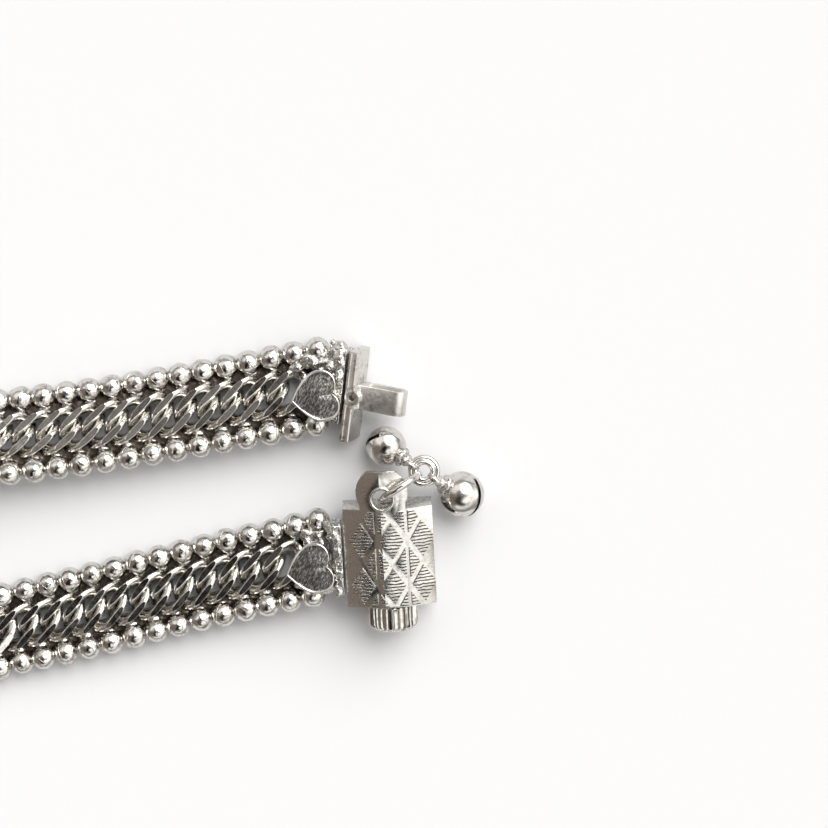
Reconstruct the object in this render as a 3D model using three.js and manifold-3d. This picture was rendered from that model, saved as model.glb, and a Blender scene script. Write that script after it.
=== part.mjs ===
// A chain anklet lying open on a table: a curb chain between two rows of beads, with a heart at
// each end, a box clasp with a knurled screw, and two small bells on jump rings.
// Millimetres, +Z up. The origin is under the middle of the whole anklet, on the table.
import * as THREE from "three";
import { mergeVertices } from "three/addons/utils/BufferGeometryUtils.js";
import Module from "manifold-3d";

const wasm = await Module();
wasm.setup();

// Driving dimensions, in millimetres and degrees.
const clearance = 0.3; // between pieces that touch each other on the real anklet

// The band: a curb chain with a row of beads along each edge.
const beadDiameter = 2.8;
const beadRowSpacing = 9.1; // from the middle of one row to the middle of the other
const chainWidth = 5.7;
const chainWire = 1.15;
const beadRowSteps = 22; // straight steps in each half of a bead row
const linkPitchWanted = 2.94; // the true pitch divides the chain's length evenly
const linkBite = 0.03; // how far neighbouring links are worn into each other
const linkTwist = 42; // each oval link is twisted by this much to either end
const linkLean = 0.55; // how far it leans along the band, for each millimetre across
const filedHeight = 1.12; // half the chain's thickness, filed flat
const chainUnderHeart = 2.6; // how far the chain's ends reach in under the hearts
const endSkew = 17; // between the band's ends, seen from above, and the fittings they join

// The hearts and the cast plates at the band's ends.
const heartLength = 6.1;
const heartWidth = 6.5;
const heartThickness = 0.9;
const heartOffset = 1.1; // the hearts sit this far off the band's middle
const heartOverPlate = 1.4; // how far the hearts reach over the cast plates
const padWidth = 3.8; // the pad of solder under each heart, where it crosses its plate
const padReach = 2.5; // from the heart's right edge to the pad's far end
const padThickness = 1.1;
const endPlateThickness = 1.1;
const endPlateWidth = 9.2;
const endPlateHeight = 3.5;
const endPlateRise = 0.4; // of its top, above the side of the fitting that it joins
const tonguePlateSide = 1; // the plate's middle, from the bar's
const claspPlateSide = -0.2; // the plate's middle, from the box's
const castLump = 2.6; // the lump of cast metal at the tongue side's corner
const castLumpShape = [1, 1.15, 0.8]; // its sizes in the bar's frame, as shares

// The tongue.
const barLength = 11.6;
const barHeight = 4.4;
const barThickness = 1.2;
const tongueWidth = 3.1;
const tongueReach = 6.2;
const tongueThickness = 2.6;
const strapThickness = 0.45;
const bossDiameter = 2;
const bossHole = 0.85;
const bossHoleDepth = 1;
const bossRise = 0.22;

// The clasp's box, in section: a flat back, upright sides and three facets in front.
const boxLength = 12.8; // along the screw
const boxWidth = 11.2;
const boxSideHeight = 4;
const boxFrontRise = 1.6; // of the middle facet above the sides
const leftFacetWidth = 4.8;
const rightFacetWidth = 3.4;
const boxWall = 0.5;
const boxEndWall = 1;
const reliefRise = 0.22;
const reliefSide = 0.4; // its middle column, from the screw's axis
const reliefShift = -0.6; // its middle, from the box's, along the screw
const diamondPitch = 5.9;
const diamondColumnPitch = 3.85;
const diamondLength = 4.7;
const diamondWidth = 3;
const splitBand = 0.5; // the plain band down the middle of a split diamond
const earThickness = 0.8;
const earRadius = 3.25;
const earNeck = 0.88; // the ear's width where it leaves the box, as a share of its widest
const earReach = 2.2; // from the box's end to the ear's middle
const earHoleDiameter = 2.4;
const earHoleReach = 1.45; // from the box's end to the middle of the hole
const earSide = -0.55; // the ear's middle, from the screw's axis

// The screw.
const screwDiameter = 1.3;
const screwHeadDiameter = 6.2;
const screwHeadLength = 3.3;
const screwHeadRounding = 0.87;
const knurlDepth = 0.3;
const knurlCount = 24;

// Rings and bells.
const largeRingDiameter = 6.6; // outside
const largeRingWire = 0.75;
const smallRingDiameter = 4.05;
const smallRingWire = 0.55;
const upperBellDiameter = 5;
const lowerBellDiameter = 5.7;
const bellWall = 0.35;
const bellSlot = 0.5;
const bellSlotWidth = 0.86; // as a share of the bell's diameter
const bellLoopDiameter = 2.2;
const bellLoopWire = 0.5;
const bellShankDiameter = 0.8;
const bellShankLength = 0.9; // from the ball to the loop

// How each fitting lies: where the middle of its left side is, seen from above and from the band's
// end, its turn, and how far it leans up towards its right end (pitch) and towards the viewer at
// the bottom (roll).
const tonguePlace = { right: 1.7, above: -1.4, turn: -7.4, pitch: 18, roll: 2 };
const boxPlace = { right: 1.8, above: 0.2, turn: 3, pitch: 0, roll: 3 };
const ringsTurn = 28.5; // from the ear's hole to the small ring, seen from above
const ringsFall = 28; // how steeply the large ring comes down from the ear
const ringsLean = 12; // of both rings, away from upright and from level
// Where each bell lies, seen from the small ring, and which way its slot faces.
const bellPlaces = {
  upper: { turn: 150, slotTurn: 172, slotLift: 12, slotSide: 5 },
  lower: { turn: -36, slotTurn: -8, slotLift: 40, slotSide: 82 },
};

// The band's route over the table, from the tongue's end round to the clasp's end: the place of
// its middle, how far its face leans outwards, and how far it is held up at the ends.
const bandRoute = [
  { x: 42.1, y: 14.9, roll: 5, lift: 0.9 },
  { x: 38.2, y: 14.12, roll: 9, lift: 0.35 },
  { x: 30, y: 12.5, roll: 12, lift: 0 },
  { x: 20, y: 10.7, roll: 13, lift: 0 },
  { x: 10, y: 9.15, roll: 15, lift: 0 },
  { x: 0, y: 8, roll: 18, lift: 0 },
  { x: -10, y: 7.7, roll: 32, lift: 0 },
  { x: -20, y: 8.2, roll: 52, lift: 0 },
  { x: -30, y: 8.9, roll: 73, lift: 0 },
  { x: -39, y: 9, roll: 87, lift: 0 },
  { x: -48, y: 7.9, roll: 90, lift: 0 },
  { x: -56.5, y: 4.2, roll: 90, lift: 0 },
  { x: -62.6, y: -2.6, roll: 90, lift: 0 },
  { x: -65, y: -11.6, roll: 90, lift: 0 },
  { x: -62.9, y: -20.7, roll: 90, lift: 0 },
  { x: -57, y: -27.8, roll: 90, lift: 0 },
  { x: -48.6, y: -31.4, roll: 90, lift: 0 },
  { x: -39.5, y: -30.6, roll: 87, lift: 0 },
  { x: -30, y: -26.9, roll: 72, lift: 0 },
  { x: -20, y: -23.3, roll: 46, lift: 0 },
  { x: -10, y: -20.1, roll: 18, lift: 0 },
  { x: 0, y: -17.4, roll: 1, lift: 0 },
  { x: 10, y: -15.0, roll: -3, lift: 0 },
  { x: 20, y: -12.4, roll: -4, lift: 0 },
  { x: 30, y: -9.85, roll: -6, lift: 0.2 },
  { x: 37.5, y: -8.0, roll: -8, lift: 0.8 },
  { x: 41.3, y: -7.05, roll: -8, lift: 1.1 },
];

// Metals.
const polished = new THREE.MeshStandardMaterial({ color: 0xd9d8d4, roughness: 0.18, metalness: 1 });
const aged = new THREE.MeshStandardMaterial({ color: 0xa9a49c, roughness: 0.38, metalness: 1 });
const rough = new THREE.MeshStandardMaterial({ color: 0x77726c, roughness: 0.6, metalness: 1 });

const degrees = THREE.MathUtils.degToRad;
const up = new THREE.Vector3(0, 0, 1);

// A closed geometry as a solid that can be joined and cut.
function solidFrom(geometry) {
  const bare = geometry.clone();
  bare.deleteAttribute("normal");
  bare.deleteAttribute("uv");
  const merged = mergeVertices(bare, 1e-4);
  return new wasm.Manifold(
    new wasm.Mesh({
      numProp: 3,
      vertProperties: merged.attributes.position.array,
      triVerts: new Uint32Array(merged.index.array),
    }),
  );
}

// A solid back as a flat-shaded geometry.
function geometryFrom(solid) {
  const mesh = solid.getMesh();
  const geometry = new THREE.BufferGeometry();
  geometry.setAttribute("position", new THREE.BufferAttribute(new Float32Array(mesh.vertProperties), 3));
  geometry.setIndex(new THREE.BufferAttribute(new Uint32Array(mesh.triVerts), 1));
  const flat = geometry.toNonIndexed();
  flat.computeVertexNormals();
  return flat;
}

const joined = (geometries) => wasm.Manifold.union(geometries.map(solidFrom));

function namedMesh(name, shape, material) {
  const geometry = shape.isBufferGeometry ? shape : geometryFrom(shape);
  const mesh = new THREE.Mesh(geometry, material);
  mesh.name = name;
  return mesh;
}

// An outline pushed along +Z, with its middle at z = 0.
function plate(shape, thickness, curveSegments = 6) {
  const options = { depth: thickness, bevelEnabled: false, curveSegments };
  return new THREE.ExtrudeGeometry(shape, options).translate(0, 0, -thickness / 2);
}

const shapeOf = (points) => new THREE.Shape(points.map(([x, y]) => new THREE.Vector2(x, y)));

// A round bar along Y, centred.
const rod = (radius, length, sides = 12) => new THREE.CylinderGeometry(radius, radius, length, sides);

// The band's route: many close samples, each with its place, lean and distance from the start.
const routePath = new THREE.CatmullRomCurve3(
  bandRoute.map((row) => new THREE.Vector3(row.x, row.y, row.lift)),
  false,
  "catmullrom",
);
const routeRoll = new THREE.CatmullRomCurve3(
  bandRoute.map((row) => new THREE.Vector3(row.roll, 0, 0)),
  false,
  "catmullrom",
);

// The height of the band's middle when the lower bead row touches the table.
const restHeight = (roll) => beadDiameter / 2 + (beadRowSpacing / 2) * Math.abs(Math.sin(degrees(roll)));

function sampleRoute(count) {
  const samples = [];
  let run = 0;
  for (let i = 0; i <= count; i++) {
    const place = routePath.getPoint(i / count);
    const roll = routeRoll.getPoint(i / count).x;
    place.z += restHeight(roll);
    if (i > 0) run += place.distanceTo(samples[i - 1].place);
    samples.push({ place, roll, run });
  }
  return samples;
}

const routeSamples = sampleRoute(1600);
const bandLength = routeSamples.at(-1).run;

// The band's own frame at a distance from its start: along it, across it towards the loop's
// inside, and out of its face.
function bandAt(distance) {
  const last = routeSamples.length - 1;
  const k = THREE.MathUtils.clamp(
    routeSamples.findIndex((sample) => sample.run > distance),
    1,
    last,
  );
  const index = distance >= bandLength ? last : k;
  const before = routeSamples[index - 1];
  const after = routeSamples[index];
  const share = (distance - before.run) / (after.run - before.run);
  const place = before.place.clone().lerp(after.place, share);
  const along = after.place.clone().sub(before.place).normalize();
  const roll = degrees(THREE.MathUtils.lerp(before.roll, after.roll, share));
  const outwards = along.clone().cross(up).normalize();
  const upright = outwards.clone().cross(along);
  const face = upright.multiplyScalar(Math.cos(roll)).addScaledVector(outwards, Math.sin(roll));
  const inwards = face.clone().cross(along);
  return { place, along, inwards, face };
}

function frameMatrix({ place, along, inwards, face }) {
  return new THREE.Matrix4().makeBasis(along, inwards, face).setPosition(place);
}

// One curb link: an oval ring, twisted about its length and filed flat on both faces.
function curbLink(pitch) {
  const halfLength = (pitch + chainWire - linkBite) / 2;
  const halfWidth = (chainWidth - chainWire) / 2;
  const ring = new THREE.TorusGeometry(1, chainWire / 2, 5, 10);
  const points = ring.attributes.position;
  const point = new THREE.Vector3();
  for (let i = 0; i < points.count; i++) {
    point.fromBufferAttribute(points, i);
    const angle = Math.atan2(point.y, point.x);
    const off = Math.hypot(point.x, point.y) - 1;
    const normal = new THREE.Vector2(halfWidth * Math.cos(angle), halfLength * Math.sin(angle)).normalize();
    const along = halfLength * Math.cos(angle) + off * normal.x;
    const across = halfWidth * Math.sin(angle) + off * normal.y;
    const twist = -degrees(linkTwist) * (along / halfLength);
    const y = across * Math.cos(twist) - point.z * Math.sin(twist);
    const z = across * Math.sin(twist) + point.z * Math.cos(twist);
    points.setXYZ(i, along + linkLean * y, y, THREE.MathUtils.clamp(z, -filedHeight, filedHeight));
  }
  return ring;
}

// Half of the chain, links first to last, fused where they touch.
function chainHalf(from, to) {
  const ends = 2 * chainWire - linkBite; // a link is longer than the pitch by this much
  const count = Math.round((to - from - ends) / linkPitchWanted);
  const pitch = (to - from - ends) / count;
  const link = curbLink(pitch);
  const links = [];
  for (let i = 0; i < count; i++) {
    const distance = from + ends / 2 + pitch * (i + 0.5);
    links.push(link.clone().applyMatrix4(frameMatrix(bandAt(distance))));
  }
  return joined(links);
}

// One stretch of a bead row, as a plain round tube beside the chain.
function beadRow(side, from, to, steps) {
  const points = [];
  for (let i = 0; i <= steps; i++) {
    const { place, inwards } = bandAt(from + ((to - from) * i) / steps);
    points.push(place.addScaledVector(inwards, (side * beadRowSpacing) / 2));
  }
  const round = new THREE.Shape().absarc(0, 0, beadDiameter / 2, 0, 2 * Math.PI);
  const extrudePath = new THREE.CatmullRomCurve3(points);
  return new THREE.ExtrudeGeometry(round, { steps, extrudePath, curveSegments: 4 });
}

// The heart's outline: its tip at -length, its two lobes towards the end plate.
function heartShape() {
  const x = (share) => share * heartLength;
  const y = (share) => share * heartWidth;
  const shape = new THREE.Shape();
  shape.moveTo(x(-0.15), 0);
  shape.bezierCurveTo(x(0.05), y(0.1), x(0.02), y(0.5), x(-0.36), y(0.5));
  shape.bezierCurveTo(x(-0.62), y(0.5), x(-0.84), y(0.22), x(-1), 0);
  shape.bezierCurveTo(x(-0.84), y(-0.22), x(-0.62), y(-0.5), x(-0.36), y(-0.5));
  shape.bezierCurveTo(x(0.02), y(-0.5), x(0.05), y(-0.1), x(-0.15), 0);
  return shape;
}

// The heart lies over the chain's last links and the beads beside them.
const heartBase = Math.max(filedHeight, beadDiameter / 2) + clearance;

// The heart in the band's frame, +X away from the band, its right edge at x = 0.
const heart = () => plate(heartShape(), heartThickness, 5).translate(0, 0, heartBase + heartThickness / 2);

// The pad of solder under the heart's two lobes, from the plate's outer side inwards.
function solderPad() {
  const length = padReach - heartOverPlate + endPlateThickness;
  return new THREE.BoxGeometry(length, padWidth, padThickness)
    .translate(length / 2 - padReach, 0, heartBase + (heartThickness - padThickness) / 2);
}

// The cast plate that closes the band and carries the heart, in the frame of the fitting that it
// joins. Its outer face is at x, its middle at y, its top at z.
function endPlate(x, y, z) {
  return new THREE.BoxGeometry(endPlateThickness, endPlateWidth, endPlateHeight)
    .translate(x - endPlateThickness / 2, y, z - endPlateHeight / 2);
}

// The lump of cast metal at the upper corner of the tongue's end plate, behind its outer face at x.
function cornerLump(x) {
  const [long, wide, high] = castLumpShape;
  return new THREE.IcosahedronGeometry(castLump / 2, 1)
    .scale(long, wide, high)
    .translate(x - castLump / 2, barLength / 2 - castLump / 5, barHeight / 2 - castLump / 4);
}

// The tongue: a flat cross bar, and a strap bent into a long eye that the screw passes through.
function tongueBar() {
  const half = tongueThickness / 2;
  const straight = tongueReach - half;
  const outside = new THREE.Shape();
  outside.moveTo(-barThickness / 2, -half);
  outside.lineTo(straight, -half);
  outside.absarc(straight, 0, half, -Math.PI / 2, Math.PI / 2);
  outside.lineTo(-barThickness / 2, half);
  const inner = half - strapThickness;
  const eye = new THREE.Path();
  eye.moveTo(barThickness, -inner);
  eye.lineTo(straight, -inner);
  eye.absarc(straight, 0, inner, -Math.PI / 2, Math.PI / 2);
  eye.lineTo(barThickness, inner);
  outside.holes.push(eye);
  const strap = plate(outside, tongueWidth).rotateX(Math.PI / 2);
  const bar = new THREE.BoxGeometry(barThickness, barLength, barHeight).translate(-barThickness / 2, 0, 0);
  const bossAt = bossDiameter / 2 - barThickness;
  const boss = rod(bossDiameter / 2, barHeight + bossRise, 10).rotateX(Math.PI / 2)
    .translate(bossAt, 0, bossRise / 2);
  const pierced = rod(bossHole / 2, barHeight, 8).rotateX(Math.PI / 2)
    .translate(bossAt, 0, barHeight - bossHoleDepth);
  return joined([strap, bar, boss]).subtract(solidFrom(pierced));
}

// The front of the clasp's section, from left to right, moved out by rise and in by inset.
function boxFront(rise, inset = 0) {
  const side = boxSideHeight / 2 + rise;
  return [
    [boxWidth / 2 - inset, side],
    [boxWidth / 2 - rightFacetWidth, side + boxFrontRise],
    [-boxWidth / 2 + leftFacetWidth, side + boxFrontRise],
    [-boxWidth / 2 + inset, side],
  ];
}

const alongScrew = (shape, length) => plate(shape, length).rotateX(Math.PI / 2);
const throughBox = 4 * (boxSideHeight + boxFrontRise); // longer than any section of the box is high

// One diamond of the relief, seen from the front. A split one has a plain band down its middle.
function diamond(x, y, split) {
  const [w, l] = [diamondWidth / 2, diamondLength / 2];
  const band = splitBand / 2;
  const cut = l * (1 - band / w); // where the band meets the diamond's edges
  const outlines = split
    ? [
        [[x - band, y - cut], [x - band, y + cut], [x - w, y]],
        [[x + band, y + cut], [x + band, y - cut], [x + w, y]],
      ]
    : [[[x, y - l], [x + w, y], [x, y + l], [x - w, y]]];
  return outlines.map((points) => plate(shapeOf(points), throughBox));
}

// The raised relief: diamonds in three columns, split ones between them, all following the front.
function boxRelief() {
  const across = (column) => reliefSide + column * diamondColumnPitch;
  const along = (row) => reliefShift + row * diamondPitch;
  const prisms = [];
  for (const column of [-1, 0, 1]) {
    for (const row of [-0.5, 0.5]) prisms.push(...diamond(across(column), along(row), false));
  }
  for (const column of [-0.5, 0.5]) {
    for (const row of [-1, 0, 1]) prisms.push(...diamond(across(column), along(row), true));
  }
  const raised = shapeOf([...boxFront(reliefRise), [-boxWidth / 2, 0], [boxWidth / 2, 0]]);
  return joined(prisms).intersect(solidFrom(alongScrew(raised, boxLength - 2 * reliefRise)));
}

// The clasp: a hollow box, open on its right where the tongue goes in, bored for the screw.
function claspBox() {
  const half = boxSideHeight / 2;
  const outside = shapeOf([...boxFront(0), [-boxWidth / 2, -half], [boxWidth / 2, -half]]);
  const [right, middleRight, middleLeft, left] = boxFront(-boxWall, boxWall);
  const beyond = boxWidth; // past the box's open side
  const cavity = shapeOf([
    [beyond, right[1]],
    [right[0] + boxWall, right[1]],
    middleRight,
    middleLeft,
    left,
    [left[0], -half + boxWall],
    [beyond, -half + boxWall],
  ]);
  const hollow = alongScrew(cavity, boxLength - 2 * boxEndWall);
  const bore = rod(screwDiameter / 2 + clearance, 2 * boxLength);
  return solidFrom(alongScrew(outside, boxLength))
    .add(boxRelief())
    .subtract(solidFrom(hollow))
    .subtract(solidFrom(bore))
    .add(boxEar());
}

// The ear: the box's front carried on past its end in a round tab, with a hole for the ring.
function boxEar() {
  const reach = earReach + earRadius;
  const [a, b, c, d] = boxFront(0);
  const lowered = ([x, z]) => [x, z - earThickness];
  const root = boxLength / 2 - boxEndWall / 2; // the ear starts inside the box's end wall
  const skin = alongScrew(shapeOf([a, b, c, d, lowered(d), lowered(c), lowered(b), lowered(a)]), reach)
    .translate(0, root + reach / 2, 0);
  const neck = earRadius * earNeck;
  const start = -Math.acos(earNeck);
  const outline = new THREE.Shape();
  outline.moveTo(earSide - neck, root);
  outline.lineTo(earSide + neck, root);
  outline.absarc(earSide, boxLength / 2 + earReach, earRadius, start, Math.PI - start);
  const hole = rod(earHoleDiameter / 2, throughBox, 14).rotateX(Math.PI / 2)
    .translate(earSide, boxLength / 2 + earHoleReach, 0);
  return solidFrom(skin)
    .intersect(solidFrom(plate(outline, throughBox, 10)))
    .subtract(solidFrom(hole));
}

// The screw, along Y: a knurled head with a rounded end, and a plain shaft that reaches through
// the box into its far end.
function claspScrew() {
  const radius = screwHeadDiameter / 2;
  const outline = [];
  for (let i = 0; i < 2 * knurlCount; i++) {
    const r = i % 2 ? radius - knurlDepth : radius;
    outline.push([r * Math.cos((Math.PI * i) / knurlCount), r * Math.sin((Math.PI * i) / knurlCount)]);
  }
  const inner = -boxLength / 2 - clearance;
  const outer = inner - screwHeadLength;
  const headMiddle = (inner + outer) / 2;
  const round = screwHeadRounding;
  const corner = round * (1 - Math.SQRT1_2); // how far a rounded edge's middle is cut back
  const rounded = new THREE.LatheGeometry(
    [
      [0, outer],
      [radius - round, outer],
      [radius - corner, outer + corner],
      [radius, outer + round],
      [radius, inner],
      [0, inner],
    ].map(([x, y]) => new THREE.Vector2(x, y)),
    24,
  );
  const knurled = alongScrew(shapeOf(outline), screwHeadLength).translate(0, headMiddle, 0);
  const shaftEnd = boxLength / 2 - clearance;
  const shaft = rod(screwDiameter / 2, shaftEnd - headMiddle).translate(0, (shaftEnd + headMiddle) / 2, 0);
  return solidFrom(knurled).intersect(solidFrom(rounded)).add(solidFrom(shaft));
}

// A round ring in the XY plane, given its outside size.
const ring = (diameter, wire, around, sides) =>
  new THREE.TorusGeometry((diameter - wire) / 2, wire / 2, sides, around);

// How far a bell's loop lies from the bell's middle.
const loopMiddle = (diameter) => diameter / 2 + bellShankLength + (bellLoopDiameter - bellLoopWire) / 2;

// A bell, its loop towards +X: a hollow ball with a slot, a short shank and a wire loop in XZ.
function bell(diameter, slotDirection, slotSide) {
  const radius = diameter / 2;
  const ball = new THREE.SphereGeometry(radius, 16, 8).rotateX(Math.PI / 2);
  const inside = new THREE.SphereGeometry(radius - bellWall, 10, 6).rotateX(Math.PI / 2);
  const slot = new THREE.BoxGeometry(radius, diameter * bellSlotWidth, bellSlot);
  const across = slotSide.clone().addScaledVector(slotDirection, -slotSide.dot(slotDirection)).normalize();
  const turn = new THREE.Matrix4().makeBasis(
    slotDirection,
    across,
    slotDirection.clone().cross(across),
  );
  slot.translate(radius, 0, 0).applyMatrix4(turn);
  const loopAt = loopMiddle(diameter);
  const loop = ring(bellLoopDiameter, bellLoopWire, 12, 6).rotateX(Math.PI / 2).translate(loopAt, 0, 0);
  const shankFrom = radius - bellWall / 2;
  const shankTo = loopAt - (bellLoopDiameter - bellLoopWire) / 2;
  const shank = rod(bellShankDiameter / 2, shankTo - shankFrom, 8).rotateZ(Math.PI / 2)
    .translate((shankTo + shankFrom) / 2, 0, 0);
  return joined([ball, loop, shank])
    .subtract(solidFrom(inside))
    .subtract(solidFrom(slot));
}

// The matrix of a fitting that lies on the table and just touches it, from its place, the band's
// end that it belongs to, and how far its middle is from its left side.
function placeMatrix(place, bandEnd, middleFromLeft, parts) {
  const turn = new THREE.Euler(degrees(place.roll), -degrees(place.pitch), degrees(place.turn), "ZYX");
  const matrix = new THREE.Matrix4().makeRotationFromEuler(turn);
  matrix.setPosition(bandEnd.x + place.right, bandEnd.y + place.above, 0);
  matrix.multiply(new THREE.Matrix4().makeTranslation(middleFromLeft, 0, 0));
  const lowest = Math.min(
    ...parts.map((part) => {
      const turned = part.clone().applyMatrix4(matrix).attributes.position;
      return new THREE.Box3().setFromBufferAttribute(turned).min.z;
    }),
  );
  return new THREE.Matrix4().makeTranslation(0, 0, -lowest).multiply(matrix);
}

function direction(turn, lift) {
  const [t, l] = [degrees(turn), degrees(lift)];
  return new THREE.Vector3(Math.cos(t) * Math.cos(l), Math.sin(t) * Math.cos(l), Math.sin(l));
}

const anklet = new THREE.Group();

// The band's two halves meet in the middle of the route.
const middle = bandLength / 2;
const chainStart = heartLength - heartOverPlate + endPlateThickness - chainUnderHeart;
const skew = (beadRowSpacing / 2) * Math.tan(degrees(endSkew));
const besideLump = castLump + clearance; // the lump takes the first bead's place
const meeting = clearance; // either side of the middle
anklet.add(
  namedMesh("chain_tongue_side", chainHalf(chainStart, middle - meeting / 2), polished),
  namedMesh("chain_clasp_side", chainHalf(middle + meeting / 2, bandLength - chainStart), polished),
);
const beadRows = [
  ["inner_tongue_side", 1, 2 * clearance + skew, middle - meeting],
  ["outer_tongue_side", -1, besideLump - skew, middle - meeting],
  ["inner_clasp_side", 1, middle + meeting, bandLength - 2 * clearance + skew],
  ["outer_clasp_side", -1, middle + meeting, bandLength - 2 * clearance - skew],
];
for (const [name, side, from, to] of beadRows) {
  anklet.add(namedMesh("bead_row_" + name, beadRow(side, from, to, beadRowSteps), polished));
}

// The tongue's bar, resting on its lower edge.
const bar = namedMesh("tongue_bar", tongueBar(), aged);
const barMatrix = placeMatrix(tonguePlace, bandRoute[0], barThickness, [bar.geometry]);
bar.applyMatrix4(barMatrix);
anklet.add(bar);

// The clasp and its screw share one group, which rests on the screw's head.
const box = namedMesh("clasp_box", claspBox(), aged);
const screw = namedMesh("clasp_screw", claspScrew(), polished);
const clasped = [box.geometry, screw.geometry];
const boxMatrix = placeMatrix(boxPlace, bandRoute.at(-1), boxWidth / 2, clasped);
const clasp = new THREE.Group();
clasp.applyMatrix4(boxMatrix);
clasp.add(box, screw);
anklet.add(clasp);

// Each heart lies along the band where its middle is, and is soldered to its end plate.
const heartMiddle = heartLength / 2 - heartOverPlate + endPlateThickness;
function heartMatrix(distance, alongSign) {
  const frame = bandAt(distance);
  frame.along.multiplyScalar(alongSign);
  frame.inwards.multiplyScalar(alongSign);
  const offMiddle = new THREE.Matrix4().makeTranslation(heartLength / 2, -heartOffset, 0);
  return frameMatrix(frame).multiply(offMiddle);
}
const besideBar = -barThickness - clearance;
const besideBox = -boxWidth / 2 - clearance;
const tongueEnd = joined([
  heart().applyMatrix4(heartMatrix(heartMiddle, -1)),
  solderPad().applyMatrix4(heartMatrix(heartMiddle, -1)),
  endPlate(besideBar, tonguePlateSide, barHeight / 2 + endPlateRise).applyMatrix4(barMatrix),
  cornerLump(besideBar).applyMatrix4(barMatrix),
]);
const claspEnd = joined([
  heart().applyMatrix4(heartMatrix(bandLength - heartMiddle, 1)),
  solderPad().applyMatrix4(heartMatrix(bandLength - heartMiddle, 1)),
  endPlate(besideBox, claspPlateSide, boxSideHeight / 2 + endPlateRise).applyMatrix4(boxMatrix),
]);
anklet.add(
  namedMesh("heart_end_tongue", tongueEnd, rough),
  namedMesh("heart_end_clasp", claspEnd, rough),
);

// The large ring hangs from the ear's hole; the small ring lies in it, nearly level.
const holeAt = new THREE.Vector3(
  earSide,
  boxLength / 2 + earHoleReach,
  boxSideHeight / 2 + boxFrontRise - earThickness / 2,
).applyMatrix4(boxMatrix);
const largeRadius = (largeRingDiameter - largeRingWire) / 2;
const smallRadius = (smallRingDiameter - smallRingWire) / 2;
const fall = direction(ringsTurn, -ringsFall);
const largeMiddle = holeAt.clone().addScaledVector(fall, largeRadius);
const largeRing = namedMesh("ring_large", ring(largeRingDiameter, largeRingWire, 16, 6), polished);
const smallUp = new THREE.Vector3(0, Math.sin(degrees(ringsLean)), Math.cos(degrees(ringsLean)));
const largeAxis = fall.clone().cross(smallUp).normalize();
largeRing.applyMatrix4(
  new THREE.Matrix4().makeBasis(fall, largeAxis.clone().cross(fall), largeAxis).setPosition(largeMiddle),
);
anklet.add(largeRing);

const wiresApart = (largeRingWire + smallRingWire) / 2 + clearance;
const smallWireAt = largeMiddle.clone().addScaledVector(fall, largeRadius - wiresApart);
const smallAlong = fall.clone().addScaledVector(smallUp, -fall.dot(smallUp)).normalize();
const smallMiddle = smallWireAt.clone().addScaledVector(smallAlong, smallRadius);
const smallRing = namedMesh("ring_small", ring(smallRingDiameter, smallRingWire, 16, 6), polished);
smallRing.applyMatrix4(
  new THREE.Matrix4()
    .makeBasis(smallAlong, smallUp.clone().cross(smallAlong), smallUp)
    .setPosition(smallMiddle),
);
anklet.add(smallRing);

// The bells rest on the table, with their loops round the small ring's wire.
const bells = [
  ["bell_upper", upperBellDiameter, bellPlaces.upper],
  ["bell_lower", lowerBellDiameter, bellPlaces.lower],
];
for (const [name, diameter, place] of bells) {
  const level = direction(place.turn, 0);
  const outwards = level.clone().addScaledVector(smallUp, -level.dot(smallUp)).normalize();
  const loopAt = smallMiddle.clone().addScaledVector(outwards, smallRadius);
  const reach = loopMiddle(diameter);
  const drop = loopAt.z - diameter / 2;
  const across = Math.sqrt(reach * reach - drop * drop);
  const centre = loopAt.clone().addScaledVector(level, across).setZ(diameter / 2);
  const toLoop = loopAt.clone().sub(centre).normalize();
  const side = up.clone().cross(toLoop).normalize();
  const frame = new THREE.Matrix4().makeBasis(toLoop, side, toLoop.clone().cross(side));
  const back = frame.clone().invert();
  const slotDirection = direction(place.slotTurn, place.slotLift).transformDirection(back);
  const slotSide = direction(place.slotSide, 0).transformDirection(back);
  const mesh = namedMesh(name, bell(diameter, slotDirection, slotSide), aged);
  mesh.applyMatrix4(frame.setPosition(centre));
  anklet.add(mesh);
}

// The origin goes under the middle of the whole.
const whole = new THREE.Box3().setFromObject(anklet, true);
const wholeMiddle = whole.getCenter(new THREE.Vector3());
anklet.position.set(-wholeMiddle.x, -wholeMiddle.y, -whole.min.z);

export default anklet;
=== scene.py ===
# The looks of a silver-plated chain anklet that lies open: a filed curb chain between two rows
# of beads, a heart at each end, a stamped box clasp with a knurled screw, and two bells.
import math

import bmesh
import bpy
from mathutils import Matrix, Vector, noise


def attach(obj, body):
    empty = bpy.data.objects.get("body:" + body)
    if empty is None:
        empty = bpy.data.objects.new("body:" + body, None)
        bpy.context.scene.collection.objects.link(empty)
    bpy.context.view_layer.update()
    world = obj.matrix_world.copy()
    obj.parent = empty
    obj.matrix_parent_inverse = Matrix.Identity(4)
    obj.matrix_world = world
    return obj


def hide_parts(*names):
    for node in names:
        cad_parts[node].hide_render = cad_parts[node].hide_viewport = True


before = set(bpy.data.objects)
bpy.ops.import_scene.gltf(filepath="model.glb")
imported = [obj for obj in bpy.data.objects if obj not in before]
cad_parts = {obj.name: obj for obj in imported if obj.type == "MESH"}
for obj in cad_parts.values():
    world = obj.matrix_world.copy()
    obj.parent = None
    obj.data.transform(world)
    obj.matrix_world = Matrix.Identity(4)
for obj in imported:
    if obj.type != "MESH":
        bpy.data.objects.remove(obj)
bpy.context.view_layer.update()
mm = 0.001


def linearColour(hexText):
    parts = [int(hexText[i:i + 2], 16) / 255 for i in (1, 3, 5)]
    linear = [c / 12.92 if c <= 0.04045 else ((c + 0.055) / 1.055) ** 2.4 for c in parts]
    return (*linear, 1.0)


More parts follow.
